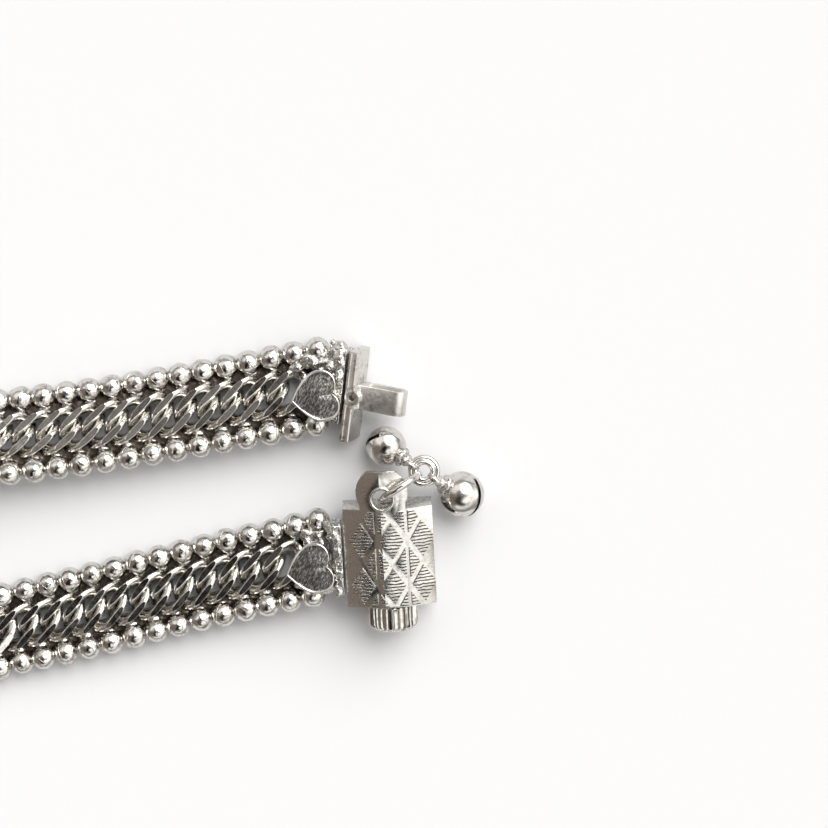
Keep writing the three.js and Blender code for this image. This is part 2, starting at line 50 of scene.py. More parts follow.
def addNode(tree, kind, inputs=None, **settings):
    node = tree.nodes.new(kind)
    for name, value in settings.items():
        setattr(node, name, value)
    for name, value in (inputs or {}).items():
        if isinstance(value, bpy.types.NodeSocket):
            tree.links.new(value, node.inputs[name])
        else:
            node.inputs[name].default_value = value
    return node


# View and light

view = {
    "lookAt": (54.64, 17.25, 3.0),  # mm, what the middle of the picture shows
    "tilt": 12,  # degrees from straight above, from the side at the picture's top
    "distance": 400,  # mm
    "frameWidth": 103.5,  # mm across the picture, at lookAt
    "sensor": 36,
}
# Studio light by direction: how far it is from straight above and which way, in degrees (0 is +X,
# 90 is +Y), the half angle of its core and of its soft edge, and its brightness. Later ones lie
# over earlier ones. A grey canopy hangs over the anklet, with softboxes and two dark flags.
lightZones = [
    {"off": 0, "turn": 0, "core": 58, "edge": 80, "colour": "#cac8c5", "power": 2.1},
    {"off": 52, "turn": 202, "core": 22, "edge": 42, "colour": "#a5988e", "power": 0.62},
    {"off": 50, "turn": 8, "core": 16, "edge": 34, "colour": "#f0eeea", "power": 2.0},
    {"off": 10, "turn": 100, "core": 24, "edge": 36, "colour": "#b4aea9", "power": 0.46},
    {"off": 24, "turn": 262, "core": 20, "edge": 36, "colour": "#8c7f78", "power": 0.045},
    {"off": 7, "turn": 160, "core": 5, "edge": 11, "colour": "#8c7f78", "power": 0.05},
    {"off": 49, "turn": 60, "core": 18, "edge": 30, "colour": "#ffffff", "power": 8.0},
    {"off": 25, "turn": 311, "core": 8, "edge": 20, "colour": "#ffffff", "power": 1.6},
]
surroundings = {"colour": "#f4f3f1", "power": 0.35}
# Pale grey paper, which this light turns almost white; whiter paper would flood the metal from below.
floorLook = {"size": 900, "colour": "#d3d3d4"}


def makeCamera():
    camera = bpy.data.objects.new("camera", bpy.data.cameras.new("camera"))
    tilt = math.radians(view["tilt"])
    away = Vector((0, math.sin(tilt), math.cos(tilt)))
    camera.location = (Vector(view["lookAt"]) + away * view["distance"]) * mm
    camera.rotation_euler = (-tilt, 0, 0)
    camera.data.sensor_width = view["sensor"]
    camera.data.lens = view["sensor"] * view["distance"] / view["frameWidth"]
    camera.data.clip_start = 0.01
    bpy.context.scene.collection.objects.link(camera)
    bpy.context.scene.camera = camera


def makeWorld():
    world = bpy.data.worlds.new("studio")
    world.use_nodes = True
    tree = world.node_tree
    tree.nodes.clear()
    direction = addNode(tree, "ShaderNodeTexCoord").outputs["Generated"]
    colour = tuple(c * surroundings["power"] for c in linearColour(surroundings["colour"]))
    for zone in lightZones:
        off, turn = math.radians(zone["off"]), math.radians(zone["turn"])
        middle = (math.sin(off) * math.cos(turn), math.sin(off) * math.sin(turn), math.cos(off))
        facing = addNode(tree, "ShaderNodeVectorMath", {0: direction, 1: middle},
                         operation="DOT_PRODUCT")
        share = addNode(tree, "ShaderNodeMapRange", {
            "Value": facing.outputs["Value"],
            "From Min": math.cos(math.radians(zone["edge"])),
            "From Max": math.cos(math.radians(zone["core"])),
        }, interpolation_type="SMOOTHSTEP")
        bright = tuple(c * zone["power"] for c in linearColour(zone["colour"])[:3]) + (1.0,)
        mixed = addNode(tree, "ShaderNodeMix", {0: share.outputs["Result"], 6: colour, 7: bright},
                        data_type="RGBA", clamp_result=False)
        colour = mixed.outputs[2]
    background = addNode(tree, "ShaderNodeBackground", {"Color": colour})
    addNode(tree, "ShaderNodeOutputWorld", {"Surface": background.outputs["Background"]})
    bpy.context.scene.world = world


def makeFloor():
    half = floorLook["size"] / 2 * mm
    mesh = bpy.data.meshes.new("floor")
    corners = [(-half, -half, 0), (half, -half, 0), (half, half, 0), (-half, half, 0)]
    mesh.from_pydata(corners, [], [(0, 1, 2, 3)])
    floor = bpy.data.objects.new("floor", mesh)
    bpy.context.scene.collection.objects.link(floor)
    material = bpy.data.materials.new("palePaper")
    material.use_nodes = True
    shader = material.node_tree.nodes["Principled BSDF"]
    shader.inputs["Base Color"].default_value = linearColour(floorLook["colour"])
    shader.inputs["Roughness"].default_value = 0.9
    shader.inputs["Specular IOR Level"].default_value = 0.1
    mesh.materials.append(material)


makeCamera()
makeWorld()
makeFloor()
bpy.context.scene.view_settings.view_transform = "Standard"
print("camera, light and floor")


# Metals

metals = {
    "plate": "#d6d3ce",  # silver plate, a little worn
    "dull": "#857d74",  # plate that has gone grey where nothing rubs it
    # the brown-grey below is also the dark base of the solder run under the beads, which is partly painted
    # shade
    "old": "#4d463f",  # brown-grey, where tarnish has been rubbed thin
    "tarnish": "#2b2622",  # silver sulphide in the pits
}


def newMetal(name):
    material = bpy.data.materials.new(name)
    material.use_nodes = True
    tree = material.node_tree
    shader = tree.nodes["Principled BSDF"]
    shader.inputs["Metallic"].default_value = 1.0
    return material, tree, shader, addNode(tree, "ShaderNodeTexCoord").outputs["Object"]


# Wears a metal: a darker one's colour lies over it where the share is high, its roughness
# follows a pattern over a span of the pattern's values, and each relief is a height, a depth in
# millimetres and a strength.
def wearMetal(tree, shader, share, over, pattern, span, roughness, reliefs, under=None):
    mixed = addNode(tree, "ShaderNodeMix", {
        0: share, 6: under or linearColour(metals["plate"]), 7: linearColour(metals[over]),
    }, data_type="RGBA")
    tree.links.new(mixed.outputs[2], shader.inputs["Base Color"])
    spread = addNode(tree, "ShaderNodeMapRange", {
        "Value": pattern, "From Min": span[0], "From Max": span[1],
        "To Min": roughness[0], "To Max": roughness[1]})
    tree.links.new(spread.outputs["Result"], shader.inputs["Roughness"])
    normal = {}
    for height, depth, strength in reliefs:
        bump = addNode(tree, "ShaderNodeBump", {
            "Height": height, "Distance": depth * mm, "Strength": strength, **normal})
        normal = {"Normal": bump.outputs["Normal"]}
    tree.links.new(normal["Normal"], shader.inputs["Normal"])


beadLook = {
    "soilSize": 1.1,  # mm, of the grey patches
    "dentSize": 0.75,  # mm, of the shallow dents from tumbling
    "dentDepth": 0.1,
    "scratchSize": 0.2,  # mm, drawn as coarse as it needs to show
    "scratchDepth": 0.012,
    "seamWidth": 0.09,  # mm, of the groove where the bead's two halves meet
    "seamDepth": 0.05,
}


# Silver-plated brass beads, pressed in halves and tumbled: mirror bright, with shallow dents
# that break up the reflections, a seam round each, and grey left between them.
def tumbledSilver():
    material, tree, shader, place = newMetal("tumbledSilverPlate")
    soil = addNode(tree, "ShaderNodeTexNoise", {
        "Vector": place, "Scale": 1 / (beadLook["soilSize"] * mm), "Detail": 4.0, "Roughness": 0.65})
    soiled = addNode(tree, "ShaderNodeMapRange", {
        "Value": soil.outputs["Fac"], "From Min": 0.52, "From Max": 0.74})
    dents = addNode(tree, "ShaderNodeTexNoise", {
        "Vector": place, "Scale": 1 / (beadLook["dentSize"] * mm), "Detail": 2.5, "Roughness": 0.5,
        "Distortion": 0.6})
    scratches = addNode(tree, "ShaderNodeTexNoise", {
        "Vector": place, "Scale": 1 / (beadLook["scratchSize"] * mm), "Detail": 2.0, "Distortion": 1.0})
    local = addNode(tree, "ShaderNodeAttribute", attribute_name="beadPlace")
    split = addNode(tree, "ShaderNodeSeparateXYZ", {"Vector": local.outputs["Vector"]})
    fromSeam = addNode(tree, "ShaderNodeMath", {0: split.outputs["Z"]}, operation="ABSOLUTE")
    seam = addNode(tree, "ShaderNodeMapRange", {
        "Value": fromSeam.outputs["Value"], "From Min": 0.0, "From Max": beadLook["seamWidth"] / 2 * mm,
        "To Min": 0.0, "To Max": 1.0}, interpolation_type="SMOOTHSTEP")
    reliefs = [
        (dents.outputs["Fac"], beadLook["dentDepth"], 0.8),
        (scratches.outputs["Fac"], beadLook["scratchDepth"], 0.8),
        (seam.outputs["Result"], beadLook["seamDepth"], 1.0),
    ]
    wearMetal(tree, shader, soiled.outputs["Result"], "dull", soil.outputs["Fac"],
              (0.35, 0.7), (0.07, 0.26), reliefs)
    return material


chainLook = {
    "drawLine": 0.16,  # mm between the marks along the wire, drawn as coarse as they need to show
    "lineDepth": 0.012,
    "waveSize": 0.7,
    "waveDepth": 0.06,
    "soilSize": 0.7,
}


# Silver-plated wire, twisted, then filed flat on both faces: rounded flanks with soft hammer
# waves, and mirror flats with faint file marks.
def filedSilver():
    material, tree, shader, place = newMetal("filedSilverPlate")
    filed = addNode(tree, "ShaderNodeAttribute", attribute_name="filed").outputs["Fac"]
    soil = addNode(tree, "ShaderNodeTexNoise", {
        "Vector": place, "Scale": 1 / (chainLook["soilSize"] * mm), "Detail": 4.0, "Roughness": 0.6})
    soiled = addNode(tree, "ShaderNodeMapRange", {
        "Value": soil.outputs["Fac"], "From Min": 0.56, "From Max": 0.8})
    waves = addNode(tree, "ShaderNodeTexNoise", {
        "Vector": place, "Scale": 1 / (chainLook["waveSize"] * mm), "Detail": 2.0})
    flank = addNode(tree, "ShaderNodeMath", {0: 1.0, 1: filed}, operation="SUBTRACT")
    onFlanks = addNode(tree, "ShaderNodeMath", {
        0: waves.outputs["Fac"], 1: flank.outputs["Value"]}, operation="MULTIPLY")
    lines = addNode(tree, "ShaderNodeTexNoise", {
        "Vector": place, "Scale": 1 / (chainLook["drawLine"] * mm), "Detail": 1.0})
    reliefs = [
        (onFlanks.outputs["Value"], chainLook["waveDepth"], 0.9),
        (lines.outputs["Fac"], chainLook["lineDepth"], 0.5),
    ]
    wearMetal(tree, shader, soiled.outputs["Result"], "dull", soil.outputs["Fac"],
              (0.35, 0.75), (0.1, 0.28), reliefs)
    return material


castLook = {
    "grainSize": 0.3,  # mm, of the sand's grains
    "grainDepth": 0.09,
    "lumpSize": 0.9,
    "lumpDepth": 0.18,
}


# Solder and sand-cast silver, left as it came: bright rounded grains with black between them.
def sandCastSilver():
    material, tree, shader, place = newMetal("sandCastSilver")
    grain = addNode(tree, "ShaderNodeTexNoise", {
        "Vector": place, "Scale": 1 / (castLook["grainSize"] * mm), "Detail": 3.0, "Roughness": 0.6})
    dark = addNode(tree, "ShaderNodeMapRange", {
        "Value": grain.outputs["Fac"], "From Min": 0.48, "From Max": 0.34})
    lumps = addNode(tree, "ShaderNodeTexNoise", {
        "Vector": place, "Scale": 1 / (castLook["lumpSize"] * mm), "Detail": 1.0})
    reliefs = [
        (lumps.outputs["Fac"], castLook["lumpDepth"], 0.7),
        (grain.outputs["Fac"], castLook["grainDepth"], 0.9),
    ]
    wearMetal(tree, shader, dark.outputs["Result"], "tarnish", grain.outputs["Fac"],
              (0.3, 0.65), (0.5, 0.14), reliefs)
    return material


oldLook = {"lumpSize": 0.6, "lumpDepth": 0.12}  # mm


# Old solder under the beads, which nothing rubs: dark brown, with a dull shine on its lumps. Its dark brown
# is partly painted shade, standing for the shade between the beads and the chain.
def tarnishedSolder():
    material, tree, shader, place = newMetal("tarnishedSolder")
    lumps = addNode(tree, "ShaderNodeTexNoise", {
        "Vector": place, "Scale": 1 / (oldLook["lumpSize"] * mm), "Detail": 3.0})
    bare = addNode(tree, "ShaderNodeMapRange", {
        "Value": lumps.outputs["Fac"], "From Min": 0.54, "From Max": 0.74})
    reliefs = [
        (lumps.outputs["Fac"], oldLook["lumpDepth"], 0.9),
    ]
    wearMetal(tree, shader, bare.outputs["Result"], "dull", lumps.outputs["Fac"],
              (0.35, 0.7), (0.6, 0.3), reliefs, under=linearColour(metals["old"]))
    return material


heartLook = {
    "strokePitch": 0.3,  # mm between the graver's strokes
    "strokeLength": 0.8,
    "strokeDepth": 0.09,
    "strokeTurn": 62,  # degrees, of the strokes from +X
}


# The hearts' faces, matted with a graver: short crossing strokes that catch the light as
# sparks on a dark ground, inside a polished rim.
def gravenSilver():
    material, tree, shader, place = newMetal("gravenSilver")
    inside = addNode(tree, "ShaderNodeAttribute", attribute_name="graven").outputs["Fac"]
    long, pitch = heartLook["strokeLength"] * mm, heartLook["strokePitch"] * mm
    turned = addNode(tree, "ShaderNodeMapping", {
        "Vector": place, "Rotation": (0, 0, math.radians(heartLook["strokeTurn"])),
        "Scale": (long, pitch, pitch)}, vector_type="TEXTURE")
    strokes = addNode(tree, "ShaderNodeTexNoise", {
        "Vector": turned.outputs["Vector"], "Scale": 1.6, "Detail": 3.0, "Roughness": 0.7,
        "Distortion": 0.4})
    dark = addNode(tree, "ShaderNodeMapRange", {
        "Value": strokes.outputs["Fac"], "From Min": 0.7, "From Max": 0.48, "To Max": 0.85})
    onFace = addNode(tree, "ShaderNodeMath", {
        0: dark.outputs["Result"], 1: inside}, operation="MULTIPLY")
    cut = addNode(tree, "ShaderNodeMath", {
        0: strokes.outputs["Fac"], 1: inside}, operation="MULTIPLY")
    reliefs = [
        (cut.outputs["Value"], heartLook["strokeDepth"], 1.0),
    ]
    wearMetal(tree, shader, onFace.outputs["Value"], "tarnish", inside,
              (0, 1), (0.15, 0.28), reliefs)
    return material


# Clasp: the box's own place, and the pattern stamped on it

# Each fitting's middle in millimetres, its turn from above, and how far it leans up towards its
# right end (pitch) and towards the viewer at the bottom (roll), in degrees.
claspPlace = {"middle": (51.576, -0.297, 3.594), "turn": 3, "pitch": 0, "roll": 3}
tonguePlace = {"middle": (47.816, 19.613, 2.675), "turn": -7.4, "pitch": 18, "roll": 2}


def fittingTurn(place):
    turn = Matrix.Rotation(math.radians(place["turn"]), 3, "Z")
    pitch = Matrix.Rotation(-math.radians(place["pitch"]), 3, "Y")
    roll = Matrix.Rotation(math.radians(place["roll"]), 3, "X")
    return turn @ pitch @ roll


def fittingMatrix(place):
    return Matrix.Translation(Vector(place["middle"]) * mm) @ fittingTurn(place).to_4x4()


stampLook = {
    "ribPitch": 0.42,  # mm between the ribs inside a diamond
    "ribDepth": 0.1,
    "ribWobble": 0.35,  # mm that a rib strays
    "wobbleSize": 0.77,
    "grainSize": 0.5,
    "grainDepth": 0.02,
}


# Stamped and plated sheet: ribs across each raised diamond, plain bands between them with a
# little grain, brown in every groove and grey in patches.
def stampedSilver():
    material, tree, shader, place = newMetal("stampedSilverPlate")
    raised = addNode(tree, "ShaderNodeAttribute", attribute_name="raised").outputs["Fac"]
    onBox = addNode(tree, "ShaderNodeMapping", {
        "Vector": place, "Location": Vector(claspPlace["middle"]) * mm,
        "Rotation": fittingTurn(claspPlace).to_euler(), "Scale": (mm, mm, mm)}, vector_type="TEXTURE")
    split = addNode(tree, "ShaderNodeSeparateXYZ", {"Vector": onBox.outputs["Vector"]})
    grain = addNode(tree, "ShaderNodeTexNoise", {
        "Vector": onBox.outputs["Vector"], "Scale": 1 / stampLook["grainSize"], "Detail": 3.0,
        "Roughness": 0.6})
    wobble = addNode(tree, "ShaderNodeTexNoise", {
        "Vector": onBox.outputs["Vector"], "Scale": 1 / stampLook["wobbleSize"], "Detail": 1.0})
    uneven = addNode(tree, "ShaderNodeMath", {
        0: wobble.outputs["Fac"], 1: stampLook["ribWobble"], 2: split.outputs["Y"],
    }, operation="MULTIPLY_ADD")
    phase = addNode(tree, "ShaderNodeMath", {
        0: uneven.outputs["Value"], 1: 2 * math.pi / stampLook["ribPitch"]}, operation="MULTIPLY")
    wave = addNode(tree, "ShaderNodeMath", {0: phase.outputs["Value"]}, operation="SINE")
    rib = addNode(tree, "ShaderNodeMapRange", {
        "Value": wave.outputs["Value"], "From Min": -0.95, "From Max": -0.1},
        interpolation_type="SMOOTHSTEP")
    ribs = addNode(tree, "ShaderNodeMath", {
        0: rib.outputs["Result"], 1: raised}, operation="MULTIPLY")
    groove = addNode(tree, "ShaderNodeMath", {
        0: raised, 1: ribs.outputs["Value"]}, operation="SUBTRACT")
    soil = addNode(tree, "ShaderNodeMapRange", {
        "Value": grain.outputs["Fac"], "From Min": 0.5, "From Max": 0.8, "To Max": 0.6})
    worn = addNode(tree, "ShaderNodeMix", {
        0: soil.outputs["Result"], 6: linearColour(metals["plate"]), 7: linearColour(metals["dull"]),
    }, data_type="RGBA")
    reliefs = [
        (ribs.outputs["Value"], stampLook["ribDepth"], 1.0),
        (grain.outputs["Fac"], stampLook["grainDepth"], 0.8),
    ]
    wearMetal(tree, shader, groove.outputs["Value"], "old", grain.outputs["Fac"],
              (0.35, 0.7), (0.18, 0.34), reliefs, under=worn.outputs[2])
    return material


tongueLook = {"pitSize": 0.35, "pitDepth": 0.03, "soilSize": 1.6}  # mm


# Milled silver strip, bent and soldered: even and satin, pitted where the solder ran.
def satinSilver():
    material, tree, shader, place = newMetal("satinSilverStrip")
    pits = addNode(tree, "ShaderNodeTexNoise", {
        "Vector": place, "Scale": 1 / (tongueLook["pitSize"] * mm), "Detail": 4.0, "Roughness": 0.7})
    soil = addNode(tree, "ShaderNodeTexNoise", {
        "Vector": place, "Scale": 1 / (tongueLook["soilSize"] * mm), "Detail": 2.0})
    both = addNode(tree, "ShaderNodeMath", {
        0: pits.outputs["Fac"], 1: soil.outputs["Fac"]}, operation="MULTIPLY")
    dark = addNode(tree, "ShaderNodeMapRange", {
        "Value": both.outputs["Value"], "From Min": 0.27, "From Max": 0.42})
    reliefs = [
        (pits.outputs["Fac"], tongueLook["pitDepth"], 0.6),
    ]
    wearMetal(tree, shader, dark.outputs["Result"], "dull", pits.outputs["Fac"],
              (0.35, 0.7), (0.34, 0.5), reliefs)
    return material


wireLook = {"soilSize": 0.9, "waveSize": 0.9, "waveDepth": 0.05}  # mm


# Drawn and bent wire, spun bells and a turned screw: bright, with faint waves and a little grey.
def brightSilver():
    material, tree, shader, place = newMetal("brightSilverPlate")
    soil = addNode(tree, "ShaderNodeTexNoise", {
        "Vector": place, "Scale": 1 / (wireLook["soilSize"] * mm), "Detail": 4.0, "Roughness": 0.6})
    dark = addNode(tree, "ShaderNodeMapRange", {
        "Value": soil.outputs["Fac"], "From Min": 0.5, "From Max": 0.8, "To Max": 0.8})
    waves = addNode(tree, "ShaderNodeTexNoise", {
        "Vector": place, "Scale": 1 / (wireLook["waveSize"] * mm), "Detail": 1.5})
    reliefs = [
        (waves.outputs["Fac"], wireLook["waveDepth"], 0.7),
    ]
    wearMetal(tree, shader, dark.outputs["Result"], "dull", soil.outputs["Fac"],
              (0.35, 0.7), (0.1, 0.3), reliefs)
    return material


beadMetal = tumbledSilver()
chainMetal = filedSilver()
castMetal = sandCastSilver()
seamShadeMetal = tarnishedSolder()
heartMetal = gravenSilver()
boxMetal = stampedSilver()
stripMetal = satinSilver()
brightMetal = brightSilver()
print("metals")


# Pieces are made in millimetres, in their own frame, then put in their place in metres.

def pieceFromBmesh(name, shape, matrix, material, smooth=True):
    bmesh.ops.transform(shape, matrix=matrix @ Matrix.Scale(mm, 4), verts=shape.verts)
    for face in shape.faces:
        face.smooth = smooth
    mesh = bpy.data.meshes.new(name)
    shape.to_mesh(mesh)
    shape.free()
    mesh.materials.append(material)
    piece = bpy.data.objects.new(name, mesh)
    bpy.context.scene.collection.objects.link(piece)
    return piece


def keepResult(piece):
    depsgraph = bpy.context.evaluated_depsgraph_get()
    mesh = bpy.data.meshes.new_from_object(piece.evaluated_get(depsgraph), depsgraph=depsgraph)
    piece.modifiers.clear()
    piece.data = mesh
    mesh.name = piece.name
    return piece


def smoothByAngle(piece, degrees):
    piece.data.set_sharp_from_angle(angle=math.radians(degrees))


# A loop of points round a middle, from the two directions that span it.
def loopOf(shape, middle, across, up, sides):
    turns = [2 * math.pi * k / sides for k in range(sides)]
    return [shape.verts.new(middle + across * math.cos(a) + up * math.sin(a)) for a in turns]


def bridge(shape, loops, closed=False):
    for a, b in zip(loops, loops[1:] + (loops[:1] if closed else [])):
        for k in range(len(a)):
            after = (k + 1) % len(a)
            shape.faces.new((a[k], b[k], b[after], a[after]))


# Band: the route over the table, as in the solid model

band = {
    "beadDiameter": 2.8,
    "beadRowSpacing": 9.1,
    "beadPitch": 2.94,
    "chainWidth": 6.1,  # fills the space between the beads
    "chainWire": 1.5,
    "linkPitch": 2.94,
    "linkBite": 0.03,
    "linkTwist": 42,
    "linkLean": 0.55,  # how far a link leans along the band, for each millimetre across
    "filedHeight": 1.2,
    "filedEdge": 0.13,  # of the bright edge round each flat
    "chainStart": 3.2,  # from the band's ends
    "endSkew": 17,  # degrees that the band's ends lean against its run
    "outerStart": 1.5,  # where the outer row's first bead begins, beside the tongue's cast end
    "clearance": 0.3,
    "shift": (2.884, 6.260, 0.020),  # from the route's numbers to the part's own frame
}
bandRoute = [  # x, y, lean outwards in degrees, lift
    (42.1, 14.9, 5, 0.9), (38.2, 14.12, 9, 0.35), (30, 12.5, 12, 0), (20, 10.7, 13, 0),
    (10, 9.15, 15, 0), (0, 8, 18, 0), (-10, 7.7, 32, 0), (-20, 8.2, 52, 0),
    (-30, 8.9, 73, 0), (-39, 9, 87, 0), (-48, 7.9, 90, 0), (-56.5, 4.2, 90, 0),
    (-62.6, -2.6, 90, 0), (-65, -11.6, 90, 0), (-62.9, -20.7, 90, 0), (-57, -27.8, 90, 0),
    (-48.6, -31.4, 90, 0), (-39.5, -30.6, 87, 0), (-30, -26.9, 72, 0), (-20, -23.3, 46, 0),
    (-10, -20.1, 18, 0), (0, -17.4, 1, 0), (10, -15.0, -3, 0), (20, -12.4, -4, 0),
    (30, -9.85, -6, 0.2), (37.5, -8.0, -8, 0.8), (41.3, -7.05, -8, 1.1),
]


def routePoint(share):
    rows = [Vector(row) for row in bandRoute]
    rows = [2 * rows[0] - rows[1], *rows, 2 * rows[-1] - rows[-2]]
    along = share * (len(bandRoute) - 1)
    k = min(int(along), len(bandRoute) - 2)
    t = along - k
    before, start, end, after = rows[k:k + 4]
    leave, arrive = (end - before) / 2, (after - start) / 2
    return (start + leave * t + (3 * (end - start) - 2 * leave - arrive) * t ** 2
            + (2 * (start - end) + leave + arrive) * t ** 3)


def sampleRoute(count):
    samples = []
    run = 0.0
    for i in range(count + 1):
        x, y, roll, lift = routePoint(i / count)
        rest = band["beadDiameter"] / 2 + band["beadRowSpacing"] / 2 * abs(math.sin(math.radians(roll)))
        place = Vector((x, y, lift + rest)) + Vector(band["shift"])
        if samples:
            run += (place - samples[-1][0]).length
        samples.append((place, roll, run))
    return samples


routeSamples = sampleRoute(1600)
bandLength = routeSamples[-1][2]


# The band's own frame at a distance from its start: along it, inwards across it, and its face.
def bandAt(distance):
    low, high = 0, len(routeSamples) - 1
    while high - low > 1:
        middle = (low + high) // 2
        low, high = (middle, high) if routeSamples[middle][2] <= distance else (low, middle)
    (placeA, rollA, runA), (placeB, rollB, runB) = routeSamples[low], routeSamples[high]
    share = (distance - runA) / (runB - runA)
    along = (placeB - placeA).normalized()
    roll = math.radians(rollA + (rollB - rollA) * share)
    outwards = along.cross(Vector((0, 0, 1))).normalized()
    upright = outwards.cross(along)
    face = upright * math.cos(roll) + outwards * math.sin(roll)
    return placeA.lerp(placeB, share), along, face.cross(along), face


def bandMatrix(distance, sign=1):
    place, along, inwards, face = bandAt(distance)
    turn = Matrix((along * sign, inwards * sign, face)).transposed()
    return Matrix.Translation(place * mm) @ turn.to_4x4()


# Points that carry the band's frame, for the instances to follow.
def pointsAlong(name, rows):
    mesh = bpy.data.meshes.new(name)
    mesh.from_pydata([place * mm for place, _, _ in rows], [], [])
    for attribute, column in (("along", 1), ("face", 2)):
        values = mesh.attributes.new(attribute, "FLOAT_VECTOR", "POINT")
        for i, row in enumerate(rows):
            values.data[i].vector = row[column]
    piece = bpy.data.objects.new(name, mesh)
    bpy.context.scene.collection.objects.link(piece)
    return piece


def newGeometryTree(name, inputs):
    tree = bpy.data.node_groups.new(name, "GeometryNodeTree")
    tree.interface.new_socket("Geometry", in_out="INPUT", socket_type="NodeSocketGeometry")
    for label, kind in inputs:
        tree.interface.new_socket(label, in_out="INPUT", socket_type=kind)
    tree.interface.new_socket("Geometry", in_out="OUTPUT", socket_type="NodeSocketGeometry")
    return tree, addNode(tree, "NodeGroupInput").outputs


def runTree(piece, tree, values):
    modifier = piece.modifiers.new(tree.name, "NODES")
    modifier.node_group = tree
    for item in tree.interface.items_tree:
        if item.in_out == "INPUT" and item.name in values:
            modifier[item.identifier] = values[item.name]
    return keepResult(piece)


# The turn of each instance: the band's frame, with a little random turn of its own.
def bandTurn(tree, amount, seed):
    along = addNode(tree, "GeometryNodeInputNamedAttribute", {"Name": "along"},
                    data_type="FLOAT_VECTOR")
    face = addNode(tree, "GeometryNodeInputNamedAttribute", {"Name": "face"}, data_type="FLOAT_VECTOR")
    turn = addNode(tree, "FunctionNodeAxesToRotation", {
        "Primary Axis": along.outputs["Attribute"], "Secondary Axis": face.outputs["Attribute"],
    }, primary_axis="X", secondary_axis="Z")
    spread = addNode(tree, "FunctionNodeRandomValue", {
        "Min": (-1, -1, -1), "Max": (1, 1, 1), "Seed": seed}, data_type="FLOAT_VECTOR")
    scaled = addNode(tree, "ShaderNodeVectorMath", {
        0: spread.outputs[0], "Scale": amount}, operation="SCALE")
    own = addNode(tree, "FunctionNodeEulerToRotation", {"Euler": scaled.outputs["Vector"]})
    return addNode(tree, "FunctionNodeRotateRotation", {
        "Rotation": turn.outputs["Rotation"], "Rotate By": own.outputs["Rotation"],
    }, rotation_space="LOCAL").outputs["Rotation"]


def beadTree():
    tree, given = newGeometryTree("beads", [
        ("Diameter", "NodeSocketFloat"), ("Turn", "NodeSocketFloat"), ("Smallest", "NodeSocketVector"),
        ("Largest", "NodeSocketVector"), ("Dent Depth", "NodeSocketFloat"),
        ("Dent Size", "NodeSocketFloat"), ("Seed", "NodeSocketInt"), ("Metal", "NodeSocketMaterial")])
    radius = addNode(tree, "ShaderNodeMath", {0: given["Diameter"], 1: 0.5}, operation="MULTIPLY")
    ball = addNode(tree, "GeometryNodeMeshUVSphere", {"Segments": 24, "Rings": 14,
                                                      "Radius": radius.outputs["Value"]})
    local = addNode(tree, "GeometryNodeInputPosition")
    marked = addNode(tree, "GeometryNodeStoreNamedAttribute", {
        "Geometry": ball.outputs["Mesh"], "Name": "beadPlace", "Value": local.outputs["Position"],
    }, data_type="FLOAT_VECTOR", domain="POINT")
    sizes = addNode(tree, "FunctionNodeRandomValue", {
        "Min": given["Smallest"], "Max": given["Largest"], "Seed": given["Seed"],
    }, data_type="FLOAT_VECTOR")
    placed = addNode(tree, "GeometryNodeInstanceOnPoints", {
        "Points": given["Geometry"], "Instance": marked.outputs["Geometry"],
        "Rotation": bandTurn(tree, given["Turn"], given["Seed"]), "Scale": sizes.outputs[0]})
    real = addNode(tree, "GeometryNodeRealizeInstances", {"Geometry": placed.outputs["Instances"]})
    fineness = addNode(tree, "ShaderNodeMath", {0: 1.0, 1: given["Dent Size"]}, operation="DIVIDE")
    dents = addNode(tree, "ShaderNodeTexNoise", {
        "Vector": addNode(tree, "GeometryNodeInputPosition").outputs["Position"],
        "Scale": fineness.outputs["Value"], "Detail": 2.0})
    depth = addNode(tree, "ShaderNodeMath", {  # most of the noise is lower, so most marks go in
        0: dents.outputs["Fac"], 1: 0.62}, operation="SUBTRACT")
    scaled = addNode(tree, "ShaderNodeMath", {
        0: depth.outputs["Value"], 1: given["Dent Depth"]}, operation="MULTIPLY")
    offset = addNode(tree, "ShaderNodeVectorMath", {
        0: addNode(tree, "GeometryNodeInputNormal").outputs["Normal"], "Scale": scaled.outputs["Value"],
    }, operation="SCALE")
    dented = addNode(tree, "GeometryNodeSetPosition", {
        "Geometry": real.outputs["Geometry"], "Offset": offset.outputs["Vector"]})
    smooth = addNode(tree, "GeometryNodeSetShadeSmooth", {"Geometry": dented.outputs["Geometry"]})
    metal = addNode(tree, "GeometryNodeSetMaterial", {
        "Geometry": smooth.outputs["Geometry"], "Material": given["Metal"]})
    addNode(tree, "NodeGroupOutput", {"Geometry": metal.outputs["Geometry"]})
    return tree


def beadPlaces(side, start, end):
    count = round((end - start) / band["beadPitch"])
    rows = []
    for i in range(count):
        place, along, inwards, face = bandAt(start + (end - start) * (i + 0.5) / count)
        rows.append((place + inwards * side * band["beadRowSpacing"] / 2, face, along))
    return rows


bandMiddle = bandLength / 2
rowSkew = band["beadRowSpacing"] / 2 * math.tan(math.radians(band["endSkew"]))
lastBead = bandLength - 2 * band["clearance"]
rowEnds = {
    "inner": [(2 * band["clearance"] + rowSkew, bandMiddle), (bandMiddle, lastBead + rowSkew)],
    "outer": [(band["outerStart"] - rowSkew, bandMiddle), (bandMiddle, lastBead - rowSkew)],
}
beadSettings = {
    "Diameter": 3.2 * mm,
    "Turn": 0.7,
    "Smallest": (0.96, 0.96, 0.96),
    "Largest": (1.04, 1.04, 1.04),
    "Dent Depth": 0.26 * mm,
    "Dent Size": 1.3 * mm,
    "Seed": 11,
}

